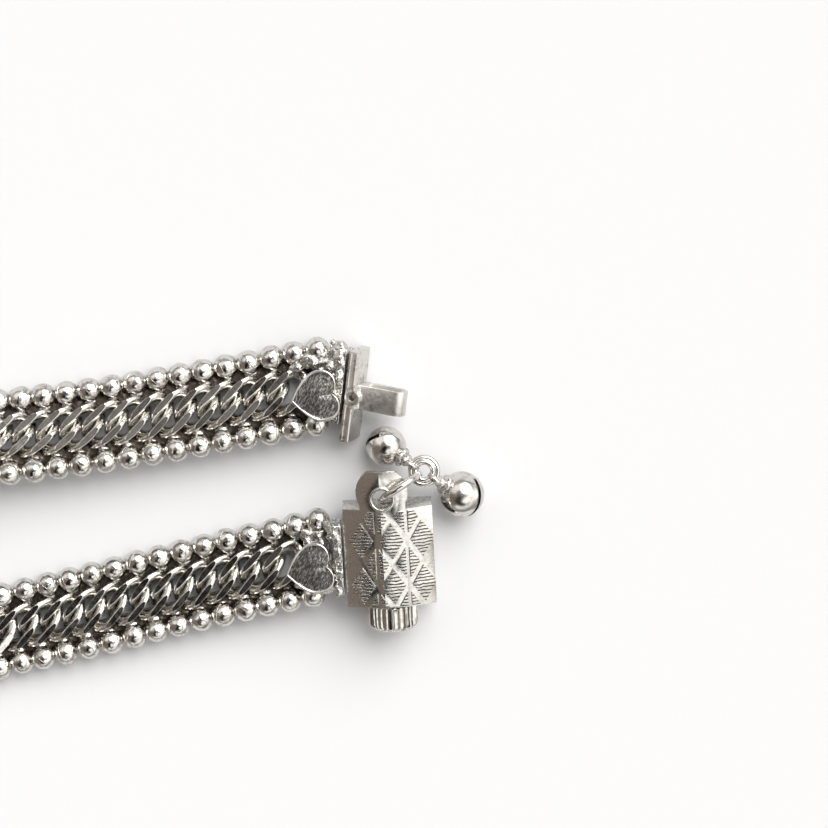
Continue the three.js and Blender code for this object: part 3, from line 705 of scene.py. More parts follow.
beadsTree = beadTree()
beadPoints = {}
for row, side in (("inner", 1), ("outer", -1)):
    beadPoints[row] = [point for start, end in rowEnds[row] for point in beadPlaces(side, start, end)]
    beads = pointsAlong("bead_row_" + row, beadPoints[row])
    runTree(beads, beadsTree, {**beadSettings, "Metal": beadMetal})
    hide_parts(f"bead_row_{row}_tongue_side", f"bead_row_{row}_clasp_side")
    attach(beads, "band")
print("beads", {row: len(points) for row, points in beadPoints.items()})


# One curb link, in millimetres: an oval of round wire, twisted about its length and filed flat.
def linkShape(pitch):
    wire = band["chainWire"]
    halfLength = (pitch + wire - band["linkBite"]) / 2
    halfWidth = (band["chainWidth"] - wire) / 2
    around, sides = 36, 12
    shape = bmesh.new()
    rings = []
    for i in range(around):
        a = 2 * math.pi * i / around
        normal = Vector((halfWidth * math.cos(a), halfLength * math.sin(a))).normalized()
        ring = []
        for k in range(sides):
            b = 2 * math.pi * k / sides
            off = wire / 2 * math.cos(b)
            x = halfLength * math.cos(a) + off * normal.x
            y = halfWidth * math.sin(a) + off * normal.y
            z = wire / 2 * math.sin(b)
            twist = -math.radians(band["linkTwist"]) * x / halfLength
            across = y * math.cos(twist) - z * math.sin(twist)
            up = y * math.sin(twist) + z * math.cos(twist)
            ring.append(shape.verts.new((x + band["linkLean"] * across, across, up)))
        rings.append(ring)
    bridge(shape, rings, closed=True)
    filed = shape.faces.layers.float.new("filed")
    for height in (band["filedHeight"], -band["filedHeight"]):
        cut = bmesh.ops.bisect_plane(
            shape, geom=shape.verts[:] + shape.edges[:] + shape.faces[:], plane_co=(0, 0, height),
            plane_no=(0, 0, math.copysign(1, height)), clear_outer=True)
        rim = [e for e in cut["geom_cut"] if isinstance(e, bmesh.types.BMEdge)]
        flats = bmesh.ops.holes_fill(shape, edges=rim, sides=0)["faces"]
        for face in flats:
            face[filed] = 1.0
        bmesh.ops.bevel(shape, geom=rim, offset=band["filedEdge"], segments=1, affect="EDGES",
                        clamp_overlap=True)
    bmesh.ops.recalc_face_normals(shape, faces=shape.faces)
    for face in shape.faces:
        face.smooth = True
    for edge in shape.edges:
        if len(edge.link_faces) == 2 and edge.calc_face_angle() > math.radians(14):
            edge.smooth = not any(face[filed] for face in edge.link_faces)
    return shape


def chainTree():
    tree, given = newGeometryTree("curbChain", [
        ("Link", "NodeSocketObject"), ("Turn", "NodeSocketFloat"), ("Seed", "NodeSocketInt"),
        ("Metal", "NodeSocketMaterial")])
    link = addNode(tree, "GeometryNodeObjectInfo", {"Object": given["Link"]})
    placed = addNode(tree, "GeometryNodeInstanceOnPoints", {
        "Points": given["Geometry"], "Instance": link.outputs["Geometry"],
        "Rotation": bandTurn(tree, given["Turn"], given["Seed"])})
    real = addNode(tree, "GeometryNodeRealizeInstances", {"Geometry": placed.outputs["Instances"]})
    metal = addNode(tree, "GeometryNodeSetMaterial", {
        "Geometry": real.outputs["Geometry"], "Material": given["Metal"]})
    addNode(tree, "NodeGroupOutput", {"Geometry": metal.outputs["Geometry"]})
    return tree


linkSettings = {"Turn": 0.035, "Seed": 4}


def makeChain():
    ends = 2 * band["chainWire"] - band["linkBite"]
    start = band["chainStart"]
    length = bandLength - 2 * start
    count = round((length - ends) / band["linkPitch"])
    pitch = (length - ends) / count
    template = bpy.data.objects.new("link", bpy.data.meshes.new("link"))
    shape = linkShape(pitch)
    bmesh.ops.scale(shape, vec=(mm, mm, mm), verts=shape.verts)
    shape.to_mesh(template.data)
    shape.free()
    bpy.context.scene.collection.objects.link(template)
    rows = []
    for i in range(count):
        place, along, _, face = bandAt(start + ends / 2 + pitch * (i + 0.5))
        rows.append((place, along, face))
    chain = pointsAlong("curb_chain", rows)
    runTree(chain, chainTree(), {"Link": template, **linkSettings, "Metal": chainMetal})
    bpy.data.objects.remove(template)
    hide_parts("chain_tongue_side", "chain_clasp_side")
    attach(chain, "band")
    return count


print("links", makeChain())


# Solder: a drop between each bead and the chain, and between neighbouring beads

solder = {
    "dropSize": (1.5, 1.3, 1.1),  # mm, along the band, across it, through it
    "dropReach": 3.2,  # mm from the band's middle
    "dropSink": -0.15,
    "neckSize": 0.95,
    "neckSink": -0.1,
    "lumpSize": 0.7,
    "lumpDepth": 0.25,
    "seamReach": 2.8,
    "seamSink": -0.85,
    # the run of solder below is dark, and partly painted shade under the beads and the chain
    "seamSize": (2.4, 0.8),  # mm, of the run of old solder under the beads, across and through
    "seamShort": 0.5,  # mm by which it stops before the bead row's ends
    "seamStep": 0.75,
}


def solderTree():
    tree, given = newGeometryTree("solderDrops", [
        ("Size", "NodeSocketVector"), ("Turn", "NodeSocketFloat"), ("Roughness", "NodeSocketFloat"),
        ("Seed", "NodeSocketInt"), ("Metal", "NodeSocketMaterial")])
    drop = addNode(tree, "GeometryNodeMeshIcoSphere", {"Radius": 0.5, "Subdivisions": 3})
    spread = addNode(tree, "FunctionNodeRandomValue", {
        "Min": (0.75, 0.75, 0.75), "Max": (1.2, 1.15, 1.2), "Seed": given["Seed"],
    }, data_type="FLOAT_VECTOR")
    size = addNode(tree, "ShaderNodeVectorMath", {
        0: given["Size"], 1: spread.outputs[0]}, operation="MULTIPLY")
    placed = addNode(tree, "GeometryNodeInstanceOnPoints", {
        "Points": given["Geometry"], "Instance": drop.outputs["Mesh"],
        "Rotation": bandTurn(tree, given["Turn"], given["Seed"]), "Scale": size.outputs["Vector"]})
    real = addNode(tree, "GeometryNodeRealizeInstances", {"Geometry": placed.outputs["Instances"]})
    lumps = addNode(tree, "ShaderNodeTexNoise", {
        "Vector": addNode(tree, "GeometryNodeInputPosition").outputs["Position"],
        "Scale": 1 / (solder["lumpSize"] * mm), "Detail": 2.0})
    depth = addNode(tree, "ShaderNodeMath", {0: lumps.outputs["Fac"], 1: 0.5}, operation="SUBTRACT")
    scaled = addNode(tree, "ShaderNodeMath", {
        0: depth.outputs["Value"], 1: given["Roughness"]}, operation="MULTIPLY")
    offset = addNode(tree, "ShaderNodeVectorMath", {
        0: addNode(tree, "GeometryNodeInputNormal").outputs["Normal"], "Scale": scaled.outputs["Value"],
    }, operation="SCALE")
    moved = addNode(tree, "GeometryNodeSetPosition", {
        "Geometry": real.outputs["Geometry"], "Offset": offset.outputs["Vector"]})
    smooth = addNode(tree, "GeometryNodeSetShadeSmooth", {"Geometry": moved.outputs["Geometry"]})
    metal = addNode(tree, "GeometryNodeSetMaterial", {
        "Geometry": smooth.outputs["Geometry"], "Material": given["Metal"]})
    addNode(tree, "NodeGroupOutput", {"Geometry": metal.outputs["Geometry"]})
    return tree


def makeSolder():
    drops, necks = [], []
    for row, side in (("inner", 1), ("outer", -1)):
        for start, end in rowEnds[row]:
            count = round((end - start) / band["beadPitch"])
            pitch = (end - start) / count
            for i in range(count):
                place, along, inwards, face = bandAt(start + pitch * (i + 0.5))
                drops.append((place + inwards * side * solder["dropReach"] + face * solder["dropSink"],
                              along, face))
                if i:
                    place, along, inwards, face = bandAt(start + pitch * i)
                    necks.append((place + inwards * side * band["beadRowSpacing"] / 2
                                  + face * solder["neckSink"], along, face))
    tree = solderTree()
    for name, rows, size in (("solder_drops", drops, solder["dropSize"]),
                             ("solder_necks", necks, [solder["neckSize"]] * 3)):
        piece = pointsAlong(name, rows)
        runTree(piece, tree, {
            "Size": Vector(size) * mm, "Turn": 0.3, "Roughness": solder["lumpDepth"] * mm, "Seed": 7,
            "Metal": castMetal})
        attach(piece, "band")


# A flat run of solder along the inner side of each bead row; its dark colour is partly painted shade,
# filling the gaps between the beads and the chain.
def makeSeams():
    long, deep = (size / 2 for size in solder["seamSize"])
    for row, side in (("inner", 1), ("outer", -1)):
        start, end = rowEnds[row][0][0] + solder["seamShort"], rowEnds[row][1][1] - solder["seamShort"]
        count = round((end - start) / solder["seamStep"])
        shape = bmesh.new()
        loops = []
        for i in range(count + 1):
            place, _, inwards, face = bandAt(start + (end - start) * i / count)
            middle = place + inwards * side * solder["seamReach"] + face * solder["seamSink"]
            loops.append(loopOf(shape, middle, inwards * long, face * deep, 10))
        bridge(shape, loops)
        shape.faces.new(loops[0])
        shape.faces.new(loops[-1][::-1])
        bmesh.ops.recalc_face_normals(shape, faces=shape.faces)
        piece = pieceFromBmesh("solder_seam_" + row, shape, Matrix.Identity(4), seamShadeMetal)
        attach(piece, "band")


makeSolder()
makeSeams()
print("solder")


# Hearts

heart = {
    "length": 6.1,
    "width": 6.5,
    "thickness": 0.9,
    "offMiddle": 1.1,
    "overPlate": 1.4,
    "plateThickness": 1.1,
    "rimWidth": 0.3,
    "rimRise": 0.1,
    "dome": 0.24,
    "creaseDepth": 0.14,
    "creaseWidth": 0.32,
}
heartBase = band["beadDiameter"] / 2 + band["clearance"]


def bezier(a, b, c, d, count):
    for i in range(count):
        t = i / count
        yield a * (1 - t) ** 3 + 3 * b * t * (1 - t) ** 2 + 3 * c * t ** 2 * (1 - t) + d * t ** 3


def heartOutline(count):
    cleft, lobe, tip = (-0.15, 0), (-0.36, 0.5), (-1, 0)
    half = [*bezier(*map(Vector, (cleft, (0.05, 0.1), (0.02, 0.5), lobe)), count),
            *bezier(*map(Vector, (lobe, (-0.62, 0.5), (-0.84, 0.22), tip)), count)]
    other = [Vector((p.x, -p.y)) for p in reversed(half[1:])]
    return [Vector((p.x * heart["length"], p.y * heart["width"])) for p in [*half, Vector(tip), *other]]


# How high the heart's face is at a place: a low dome, with a crease from the cleft inwards.
def heartFace(x, y):
    fromMiddle = math.hypot(x / heart["length"] + 0.42, y / heart["width"]) * 2
    high = heart["dome"] * (1 - min(1, fromMiddle) ** 2)
    inwards = (x / heart["length"] + 0.15) / -0.5
    if 0 <= inwards <= 1:
        high -= heart["creaseDepth"] * (1 - inwards) * math.exp(-(y / heart["creaseWidth"]) ** 2)
    return high


def makeHeart(name, matrix):
    outline = heartOutline(22)
    domeLoops = 8
    centre = Vector((-0.42 * heart["length"], 0))
    reach = heart["width"] / 2
    rim = heart["rimWidth"] / reach
    top = heartBase + heart["thickness"]
    # how far in each loop lies, its height, and how much of the dome it takes
    loops = [(0.03, heartBase, 0), (0, heartBase + 0.08, 0), (0, top - 0.14, 0), (0.012, top - 0.05, 0),
             (0.04, top, 0), (rim * 0.6, top + 0.01, 0), (rim * 0.8, top - 0.03, 0),
             (rim, top - heart["rimRise"], 0.2)]
    rimLoops = len(loops) - 1
    for k in range(1, domeLoops + 1):
        inset = rim + (1 - rim) * k / (domeLoops + 1)
        loops.append((inset, top - heart["rimRise"], 0.2 + 0.8 * k / domeLoops))
    shape = bmesh.new()
    graven = shape.faces.layers.float.new("graven")
    rings = []
    for inset, height, share in loops:
        ring = []
        for point in outline:
            x, y = point.lerp(centre, inset)
            ring.append(shape.verts.new((x, y, height + share * heartFace(x, y))))
        rings.append(ring)
    for k, (lower, upper) in enumerate(zip(rings, rings[1:])):
        for i in range(len(outline)):
            j = (i + 1) % len(outline)
            face = shape.faces.new((lower[i], lower[j], upper[j], upper[i]))
            face[graven] = 1.0 if k >= rimLoops else 0.0
    bottom = shape.verts.new((centre.x, centre.y, heartBase))
    peak = shape.verts.new((centre.x, centre.y, top - heart["rimRise"] + heartFace(*centre)))
    for i in range(len(outline)):
        j = (i + 1) % len(outline)
        shape.faces.new((rings[0][j], rings[0][i], bottom))
        shape.faces.new((rings[-1][i], rings[-1][j], peak))[graven] = 1.0
    bmesh.ops.recalc_face_normals(shape, faces=shape.faces)
    piece = pieceFromBmesh(name, shape, matrix, heartMetal)
    smoothByAngle(piece, 50)
    return piece


heartMiddle = heart["length"] / 2 - heart["overPlate"] + heart["plateThickness"]
heartShift = Matrix.Translation(Vector((heart["length"] / 2, -heart["offMiddle"], 0)) * mm)
heartMatrices = {
    "tongue": bandMatrix(heartMiddle, -1) @ heartShift,
    "clasp": bandMatrix(bandLength - heartMiddle) @ heartShift,
}

# Cast ends: the plate that closes the band, with the solder and cast metal run up round it

castEnds = {
    "apron": [  # along the band from its end, across it (inwards), height, and sizes of each lump
        (1.6, 0.4, 0.1, 3.6, 6.4, 2.0), (2.6, -3.4, 0.5, 3.4, 2.2, 1.8),
        (1.4, -3.6, 0.3, 2.4, 2.6, 2.0),
        (4.4, -2.9, 0.6, 2.2, 1.3, 1.3), (2.4, 3.3, 0.2, 2.6, 1.7, 1.5), (1.0, 2.9, 0.2, 2.0, 2.2, 1.7),
        (0.6, 0.0, 0.7, 1.6, 5.6, 1.9),
    ],
    "plateThickness": 1.1,
    "plateWidth": 9.2,
    "plateHeight": 3.5,
    "plateRise": 0.4,  # of the plate's top over the fitting's side
    "voxel": 0.11,
    "unevenness": 0.3,
    "grain": 0.8,
    "shrink": 0.05,
    "flatDepth": 0.15,  # of the face towards the fitting, which stays flat
}
# Balls of metal in the fitting's own frame: x from the plate's outer face, y from the fitting's
# middle, z from its middle, and their sizes.
castLumps = {
    "tongue": [
        (-1.3, 5.3, 1.5, 2.6, 3.0, 2.1), (-0.8, 4.3, 2.2, 1.5, 2.0, 1.6),
        (-1.9, 3.6, 2.0, 1.7, 1.6, 1.5),
        (-2.4, 4.9, 1.3, 1.5, 1.4, 1.4), (-0.6, 2.6, 2.4, 1.1, 1.8, 1.3),
        (-2.0, 6.2, 1.6, 1.3, 1.1, 1.1),
        (-0.7, -2.6, 1.2, 1.2, 1.8, 1.6), (-1.2, 1.6, 2.0, 1.8, 2.4, 1.0),
    ],
    "clasp": [
        (-0.8, 3.4, 1.2, 1.8, 2.2, 1.9), (-0.5, 2.2, 1.9, 1.2, 2.0, 1.3),
        (-1.5, 3.9, 0.7, 1.6, 1.4, 1.6),
        (-0.6, -4.0, 0.9, 1.4, 1.8, 1.6), (-0.4, 0.6, 2.1, 0.9, 2.6, 1.0),
        (-1.3, 2.8, 1.6, 1.4, 1.2, 1.2),
        (-0.4, -2.4, 1.8, 0.9, 1.6, 1.1),
    ],
}


def makeCastEnd(name, side, matrix, outerFace, plateSide, plateTop):
    shape = bmesh.new()
    distance, sign = (0, 1) if side == "tongue" else (bandLength, -1)
    toFitting = matrix.inverted() @ bandMatrix(distance, sign)
    inMillimetres = Matrix.Scale(1 / mm, 4) @ toFitting @ Matrix.Scale(mm, 4)
    for along, inwards, up, *sizes in castEnds["apron"]:
        bmesh.ops.create_icosphere(shape, subdivisions=3, radius=0.5, matrix=inMillimetres
                                   @ Matrix.Translation((along, inwards * sign, up))
                                   @ Matrix.Diagonal((*sizes, 1)))
    bmesh.ops.create_cube(shape, size=1, matrix=Matrix.Translation((
        outerFace - castEnds["plateThickness"] / 2, plateSide, plateTop - castEnds["plateHeight"] / 2,
    )) @ Matrix.Diagonal((castEnds["plateThickness"], castEnds["plateWidth"], castEnds["plateHeight"], 1)))
    for x, y, z, *sizes in castLumps[side]:
        bmesh.ops.create_icosphere(shape, subdivisions=3, radius=0.5, matrix=Matrix.Translation(
            (min(outerFace + x, outerFace - sizes[0] / 2), y, z)) @ Matrix.Diagonal((*sizes, 1)))
    piece = pieceFromBmesh(name, shape, matrix, castMetal)
    remesh = piece.modifiers.new("melt", "REMESH")
    remesh.mode = "VOXEL"
    remesh.voxel_size = castEnds["voxel"] * mm
    remesh.use_smooth_shade = True
    flow = piece.modifiers.new("flow", "SMOOTH")
    flow.factor = 0.6
    flow.iterations = 4
    keepResult(piece)
    back = matrix.inverted()
    for vertex in piece.data.vertices:
        local = back @ vertex.co / mm
        swell = noise.noise(local / castEnds["grain"]) * castEnds["unevenness"]
        if outerFace - local.x > castEnds["flatDepth"]:
            vertex.co += vertex.normal * (swell - castEnds["shrink"]) * mm
    return piece


claspMatrix = fittingMatrix(claspPlace)
tongueMatrix = fittingMatrix(tonguePlace)
box = {
    "length": 12.8,
    "width": 11.2,
    "sideHeight": 4,
    "frontRise": 1.6,
    "leftFacet": 4.8,
    "rightFacet": 3.4,
    "reliefRise": 0.22,
    "earHole": 2.4,
    "earHoleReach": 1.45,
    "earSide": -0.55,
    "earThickness": 0.8,
    "edge": 0.07,  # of the stamped edges' rounding
    "frontFall": 0.42,  # of the middle facet, from left to right
}
tongueBar = {"thickness": 1.2, "height": 4.4, "edge": 0.16}

# Each end: the fitting's place, where the fitting ends towards the band, how far off its middle
# the plate is, and half the fitting's height.
for side, matrix, fittingEnd, plateSide, halfHeight in (
    ("tongue", tongueMatrix, -tongueBar["thickness"], 1, tongueBar["height"] / 2),
    ("clasp", claspMatrix, -box["width"] / 2, -0.2, box["sideHeight"] / 2),
):
    face = makeHeart("heart_" + side, heartMatrices[side])
    cast = makeCastEnd("cast_end_" + side, side, matrix, fittingEnd - band["clearance"], plateSide,
                       halfHeight + castEnds["plateRise"])
    for piece in (face, cast):
        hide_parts("heart_end_" + side)
        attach(piece, "band")
print("hearts and cast ends")


# Clasp box and tongue: the solid model's own shapes, merged, with their edges rounded

def softenedCopy(node, name, edge, material, keepAngle=20):
    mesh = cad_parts[node].data.copy()
    mesh.name = name
    mesh.materials.clear()
    mesh.materials.append(material)
    shape = bmesh.new()
    shape.from_mesh(mesh)
    bmesh.ops.remove_doubles(shape, verts=shape.verts, dist=0.002 * mm)
    bmesh.ops.dissolve_limit(shape, angle_limit=math.radians(1), verts=shape.verts, edges=shape.edges)
    bmesh.ops.recalc_face_normals(shape, faces=shape.faces)
    shape.to_mesh(mesh)
    shape.free()
    piece = bpy.data.objects.new(name, mesh)
    bpy.context.scene.collection.objects.link(piece)
    bevel = piece.modifiers.new("edges", "BEVEL")
    bevel.width = edge * mm
    bevel.segments = 2
    bevel.limit_method = "ANGLE"
    bevel.angle_limit = math.radians(keepAngle)
    bevel.harden_normals = False
    return piece


# The clasp's front in section: how high it is above the middle at x.
def frontHeight(x):
    side = box["sideHeight"] / 2
    left, right = -box["width"] / 2, box["width"] / 2
    rise = min((x - left) / box["leftFacet"], (right - x) / box["rightFacet"], 1)
    return side + box["frontRise"] * max(0, rise)


# Marks the relief's tops and the ear's front, so that only they are ribbed.
def markRaised(mesh, matrix):
    raised = mesh.attributes.new("raised", "FLOAT", "FACE")
    back = matrix.inverted()
    for polygon in mesh.polygons:
        x, y, z = back @ polygon.center / mm
        onEar = y > box["length"] / 2 + 0.1 and (back.to_3x3() @ polygon.normal).z > 0.6
        onTop = z - frontHeight(x) > box["reliefRise"] * 0.7
        raised.data[polygon.index].value = 1.0 if onTop or onEar else 0.0


# Lets the middle facet, and what stands on it, fall a little to the right, as on the worn clasp.
def tiltFront(mesh, matrix):
    back = matrix.inverted()
    left = -box["width"] / 2 + box["leftFacet"]
    flat = box["width"] - box["leftFacet"] - box["rightFacet"]
    for vertex in mesh.vertices:
        x, y, z = back @ vertex.co / mm
        high = z - frontHeight(x)
        if x > left and high > -0.1:
            fall = min(1, (x - left) / flat, (box["width"] / 2 - x) / box["rightFacet"])
            vertex.co = matrix @ (Vector((x, y, z - box["frontFall"] * max(0, fall))) * mm)


def makeBox():
    piece = softenedCopy("clasp_box", "clasp_case", box["edge"], boxMetal)
    markRaised(piece.data, claspMatrix)
    tiltFront(piece.data, claspMatrix)
    keepResult(piece)
    smoothByAngle(piece, 35)
    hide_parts("clasp_box")
    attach(piece, "band")


# A round wire along a closed line of points, in millimetres.
def closedWire(name, points, radius, matrix, material, sides=12):
    shape = bmesh.new()
    count = len(points)
    rings = []
    normal = None
    for i, point in enumerate(points):
        tangent = (points[(i + 1) % count] - points[i - 1]).normalized()
        normal = (normal or Vector((0, 0, 1))) - tangent * (normal or Vector((0, 0, 1))).dot(tangent)
        normal.normalize()
        rings.append(loopOf(shape, point, normal * radius, tangent.cross(normal) * radius, sides))
    bridge(shape, rings, closed=True)
    bmesh.ops.recalc_face_normals(shape, faces=shape.faces)
    return pieceFromBmesh(name, shape, matrix, material)


earRim = {"outside": 0.22, "rise": 0.04, "wire": 0.2, "around": 48}  # mm


def makeEarRim():
    radius = box["earHole"] / 2 + earRim["outside"]
    points = []
    for i in range(earRim["around"]):
        a = 2 * math.pi * i / earRim["around"]
        x = box["earSide"] + radius * math.cos(a)
        y = box["length"] / 2 + box["earHoleReach"] + radius * math.sin(a)
        points.append(Vector((x, y, frontHeight(x) + earRim["rise"])))
    rim = closedWire("ear_rim", points, earRim["wire"], claspMatrix, brightMetal)
    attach(rim, "band")


barRidges = {"sides": (-0.98, -0.24), "radius": 0.25, "from": 1.2, "to": 5.6}
rootFillet = {
    "reach": 1.0,
    "width": 3.0,
    "low": 1.25,  # where it ends on the strap
    "underTop": 0.25,  # where it ends on the bar
    "sag": 0.35,
    "bite": 0.05,
    "depth": 0.3,
    "taper": 0.08,
    "steps": 8,
}


# The bar with its two rolled ridges, which leave a groove between them.
def makeTongue():
    piece = softenedCopy("tongue_bar", "tongue", tongueBar["edge"], stripMetal, keepAngle=30)
    keepResult(piece)
    smoothByAngle(piece, 40)
    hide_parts("tongue_bar")
    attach(piece, "band")
    shape = bmesh.new()
    radius = barRidges["radius"]
    for x in barRidges["sides"]:
        for sign in (-1, 1):
            middle = sign * (barRidges["to"] + barRidges["from"]) / 2
            place = Matrix.Translation((x, middle, tongueBar["height"] / 2))
            bmesh.ops.create_cone(
                shape, cap_ends=True, segments=12, radius1=radius, radius2=radius,
                depth=barRidges["to"] - barRidges["from"],
                matrix=place @ Matrix.Rotation(math.pi / 2, 4, "X"))
    ridges = pieceFromBmesh("tongue_ridges", shape, tongueMatrix, stripMetal)
    smoothByAngle(ridges, 40)
    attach(ridges, "band")


# Solder run up between the bar's face and the strap's root, hollow like any fillet.
def makeRoot():
    fillet = bmesh.new()
    steps, reach, low = rootFillet["steps"], rootFillet["reach"], rootFillet["low"]
    rise = tongueBar["height"] / 2 - rootFillet["underTop"] - low
    rows = []
    for side in (-1, 1):
        y = side * rootFillet["width"] / 2
        curve = []
        for i in range(steps + 1):
            t = i / steps
            z = low + rise * (1 - t) - rootFillet["sag"] * 4 * t * (1 - t) * rise
            curve.append(fillet.verts.new((
                reach * t - rootFillet["bite"], y * (1 - rootFillet["taper"] * t), z)))
        back = (-rootFillet["bite"], y, low - rootFillet["depth"])
        front = (reach, y * (1 - rootFillet["taper"]), low - rootFillet["depth"])
        rows.append((curve, fillet.verts.new(back), fillet.verts.new(front)))
    (a, aBack, aFront), (b, bBack, bFront) = rows
    for i in range(steps):
        fillet.faces.new((a[i], a[i + 1], b[i + 1], b[i]))
    fillet.faces.new((*a, aFront, aBack))
    fillet.faces.new((*b[::-1], bBack, bFront))
    fillet.faces.new((a[-1], aFront, bFront, b[-1]))
    fillet.faces.new((a[0], b[0], bBack, aBack))
    fillet.faces.new((aBack, bBack, bFront, aFront))
    bmesh.ops.recalc_face_normals(fillet, faces=fillet.faces)
    root = pieceFromBmesh("tongue_root", fillet, tongueMatrix, stripMetal)
    smoothByAngle(root, 35)
    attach(root, "band")


makeBox()
makeEarRim()
makeTongue()
makeRoot()
print("clasp and tongue")


# Screw: turned on a lathe and knurled

screw = {
    "shaft": 1.3,
    "head": 6.2,
    "headLength": 3.3,
    "rounding": 0.87,
    "flutes": 24,
    "fluteDepth": 0.3,
    "around": 240,
}


def makeScrew():
    radius = screw["head"] / 2
    inner = -box["length"] / 2 - band["clearance"]
    outer = inner - screw["headLength"]
    rounding = screw["rounding"]
    shaft = screw["shaft"] / 2
    shaftEnd = box["length"] / 2 - band["clearance"]
    # radius, place along the screw, and how deep the flutes are there
    profile = [(radius * 0.3, outer, 0), (radius - rounding, outer, 0)]
    for k in range(1, 7):
        a = math.pi / 2 * k / 6
        profile.append((radius - rounding * (1 - math.sin(a)), outer + rounding * (1 - math.cos(a)), k / 6))
    profile += [(radius, outer + screw["headLength"] * 0.6, 1), (radius, inner - 0.16, 1),
                (radius - 0.05, inner - 0.04, 1), (radius - 0.16, inner, 0.8), (shaft, inner, 0),
                (shaft, shaftEnd - 0.2, 0), (shaft - 0.2, shaftEnd, 0)]
    shape = bmesh.new()
    rings = []
    for r, y, share in profile:
        ring = []
        for i in range(screw["around"]):
            a = 2 * math.pi * i / screw["around"]
            wave = 0.5 - 0.5 * math.cos(screw["flutes"] * a)
            deep = screw["fluteDepth"] * share * min(1, wave * 1.5)
            ring.append(shape.verts.new(((r - deep) * math.cos(a), y, (r - deep) * math.sin(a))))
        rings.append(ring)
    bridge(shape, rings)
    shape.faces.new(rings[0])
    shape.faces.new(rings[-1][::-1])
    bmesh.ops.recalc_face_normals(shape, faces=shape.faces)
    piece = pieceFromBmesh("screw", shape, claspMatrix, brightMetal)
    smoothByAngle(piece, 40)
    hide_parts("clasp_screw")
    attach(piece, "screw")


makeScrew()
print("screw")


# Rings and bells

rings = {
    "large": 6.6,  # mm outside
    "largeWire": 0.75,
    "small": 4.05,
    "smallWire": 0.55,
    "fullness": 1.25,  # of the wires as they look, against their sizes
    "coilInside": 0.72,  # of the small ring's second coil, against its first
    "coilRise": 0.25,
    "turn": 28.5,  # degrees, from the ear's hole to the small ring, seen from above
    "fall": 28,  # how steeply the large ring comes down from the ear
    "lean": 12,
}
bells = {
    "upper": {"diameter": 5, "turn": 150, "slotTurn": 172, "slotLift": 12, "slotSide": 5},
    "lower": {"diameter": 5.7, "turn": -36, "slotTurn": -8, "slotLift": 40, "slotSide": 82},
}
bellSizes = {
    "wall": 0.35,
    "slot": 0.5,
    "slotWidth": 0.86,
    "loop": 2.2,
    "loopWire": 0.5,
    "loopFullness": 1.5,
    "shank": 0.9,
    "shankWire": 0.8,
    "bandRise": 0.06,
    "bandWidth": 0.5,
    "solder": ((0.15, (2.6, 2.4, 1.2)), (0.9, (1.6, 1.9, 1.3))),  # how far out, and size, of each lump
}


def direction(turn, lift):
    turn, lift = math.radians(turn), math.radians(lift)
    return Vector((math.cos(turn) * math.cos(lift), math.sin(turn) * math.cos(lift), math.sin(lift)))


# The large ring hangs from the ear's hole, the small one lies in it, and the bells rest beside it.
def ringFrames():
    hole = (box["earSide"], box["length"] / 2 + box["earHoleReach"],
            box["sideHeight"] / 2 + box["frontRise"] - box["earThickness"] / 2)
    hole = claspMatrix @ (Vector(hole) * mm) / mm
    largeRadius = (rings["large"] - rings["largeWire"]) / 2
    smallRadius = (rings["small"] - rings["smallWire"]) / 2
    lean = math.radians(rings["lean"])
    smallUp = Vector((0, math.sin(lean), math.cos(lean)))
    fall = direction(rings["turn"], -rings["fall"])
    largeMiddle = hole + fall * largeRadius
    wiresApart = (rings["largeWire"] + rings["smallWire"]) / 2 + band["clearance"]
    along = (fall - smallUp * fall.dot(smallUp)).normalized()
    smallMiddle = largeMiddle + fall * (largeRadius - wiresApart) + along * smallRadius
    return largeMiddle, fall.cross(smallUp).normalized(), smallMiddle, smallUp, smallRadius


largeMiddle, largeAxis, smallMiddle, smallUp, smallRadius = ringFrames()


def loopReach(bell):
    return bell["diameter"] / 2 + bellSizes["shank"] + (bellSizes["loop"] - bellSizes["loopWire"]) / 2


def bellPlace(bell):
    level = direction(bell["turn"], 0)
    outwards = (level - smallUp * level.dot(smallUp)).normalized()
    loopAt = smallMiddle + outwards * smallRadius
    radius = bell["diameter"] / 2
    drop = loopAt.z - radius - band["shift"][2]
    middle = loopAt + level * math.sqrt(loopReach(bell) ** 2 - drop ** 2)
    middle.z = radius + band["shift"][2]
    return middle, (loopAt - middle).normalized()


def addTorus(shape, middle, axis, diameter, wire, around=72, sides=14):
    up = Vector(axis).normalized()
    side = up.orthogonal().normalized()
    front = up.cross(side)
    loops = []
    for i in range(around):
        a = 2 * math.pi * i / around
        out = side * math.cos(a) + front * math.sin(a)
        centre = Vector(middle) + out * (diameter - wire) / 2
        loops.append(loopOf(shape, centre, out * wire / 2, up * wire / 2, sides))
    bridge(shape, loops, closed=True)


def makeRings():
    full = rings["fullness"]
    large = bmesh.new()
    addTorus(large, largeMiddle, largeAxis, rings["large"], rings["largeWire"] * full)
    small = bmesh.new()
    addTorus(small, smallMiddle, smallUp, rings["small"], rings["smallWire"] * full)
    addTorus(small, smallMiddle + smallUp * rings["coilRise"], smallUp,
             rings["small"] * rings["coilInside"], rings["smallWire"] * full)
    for name, shape in (("ring_large", large), ("ring_small", small)):
        bmesh.ops.recalc_face_normals(shape, faces=shape.faces)
        piece = pieceFromBmesh("jump_" + name, shape, Matrix.Identity(4), brightMetal)
        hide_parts(name)
        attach(piece, "band")


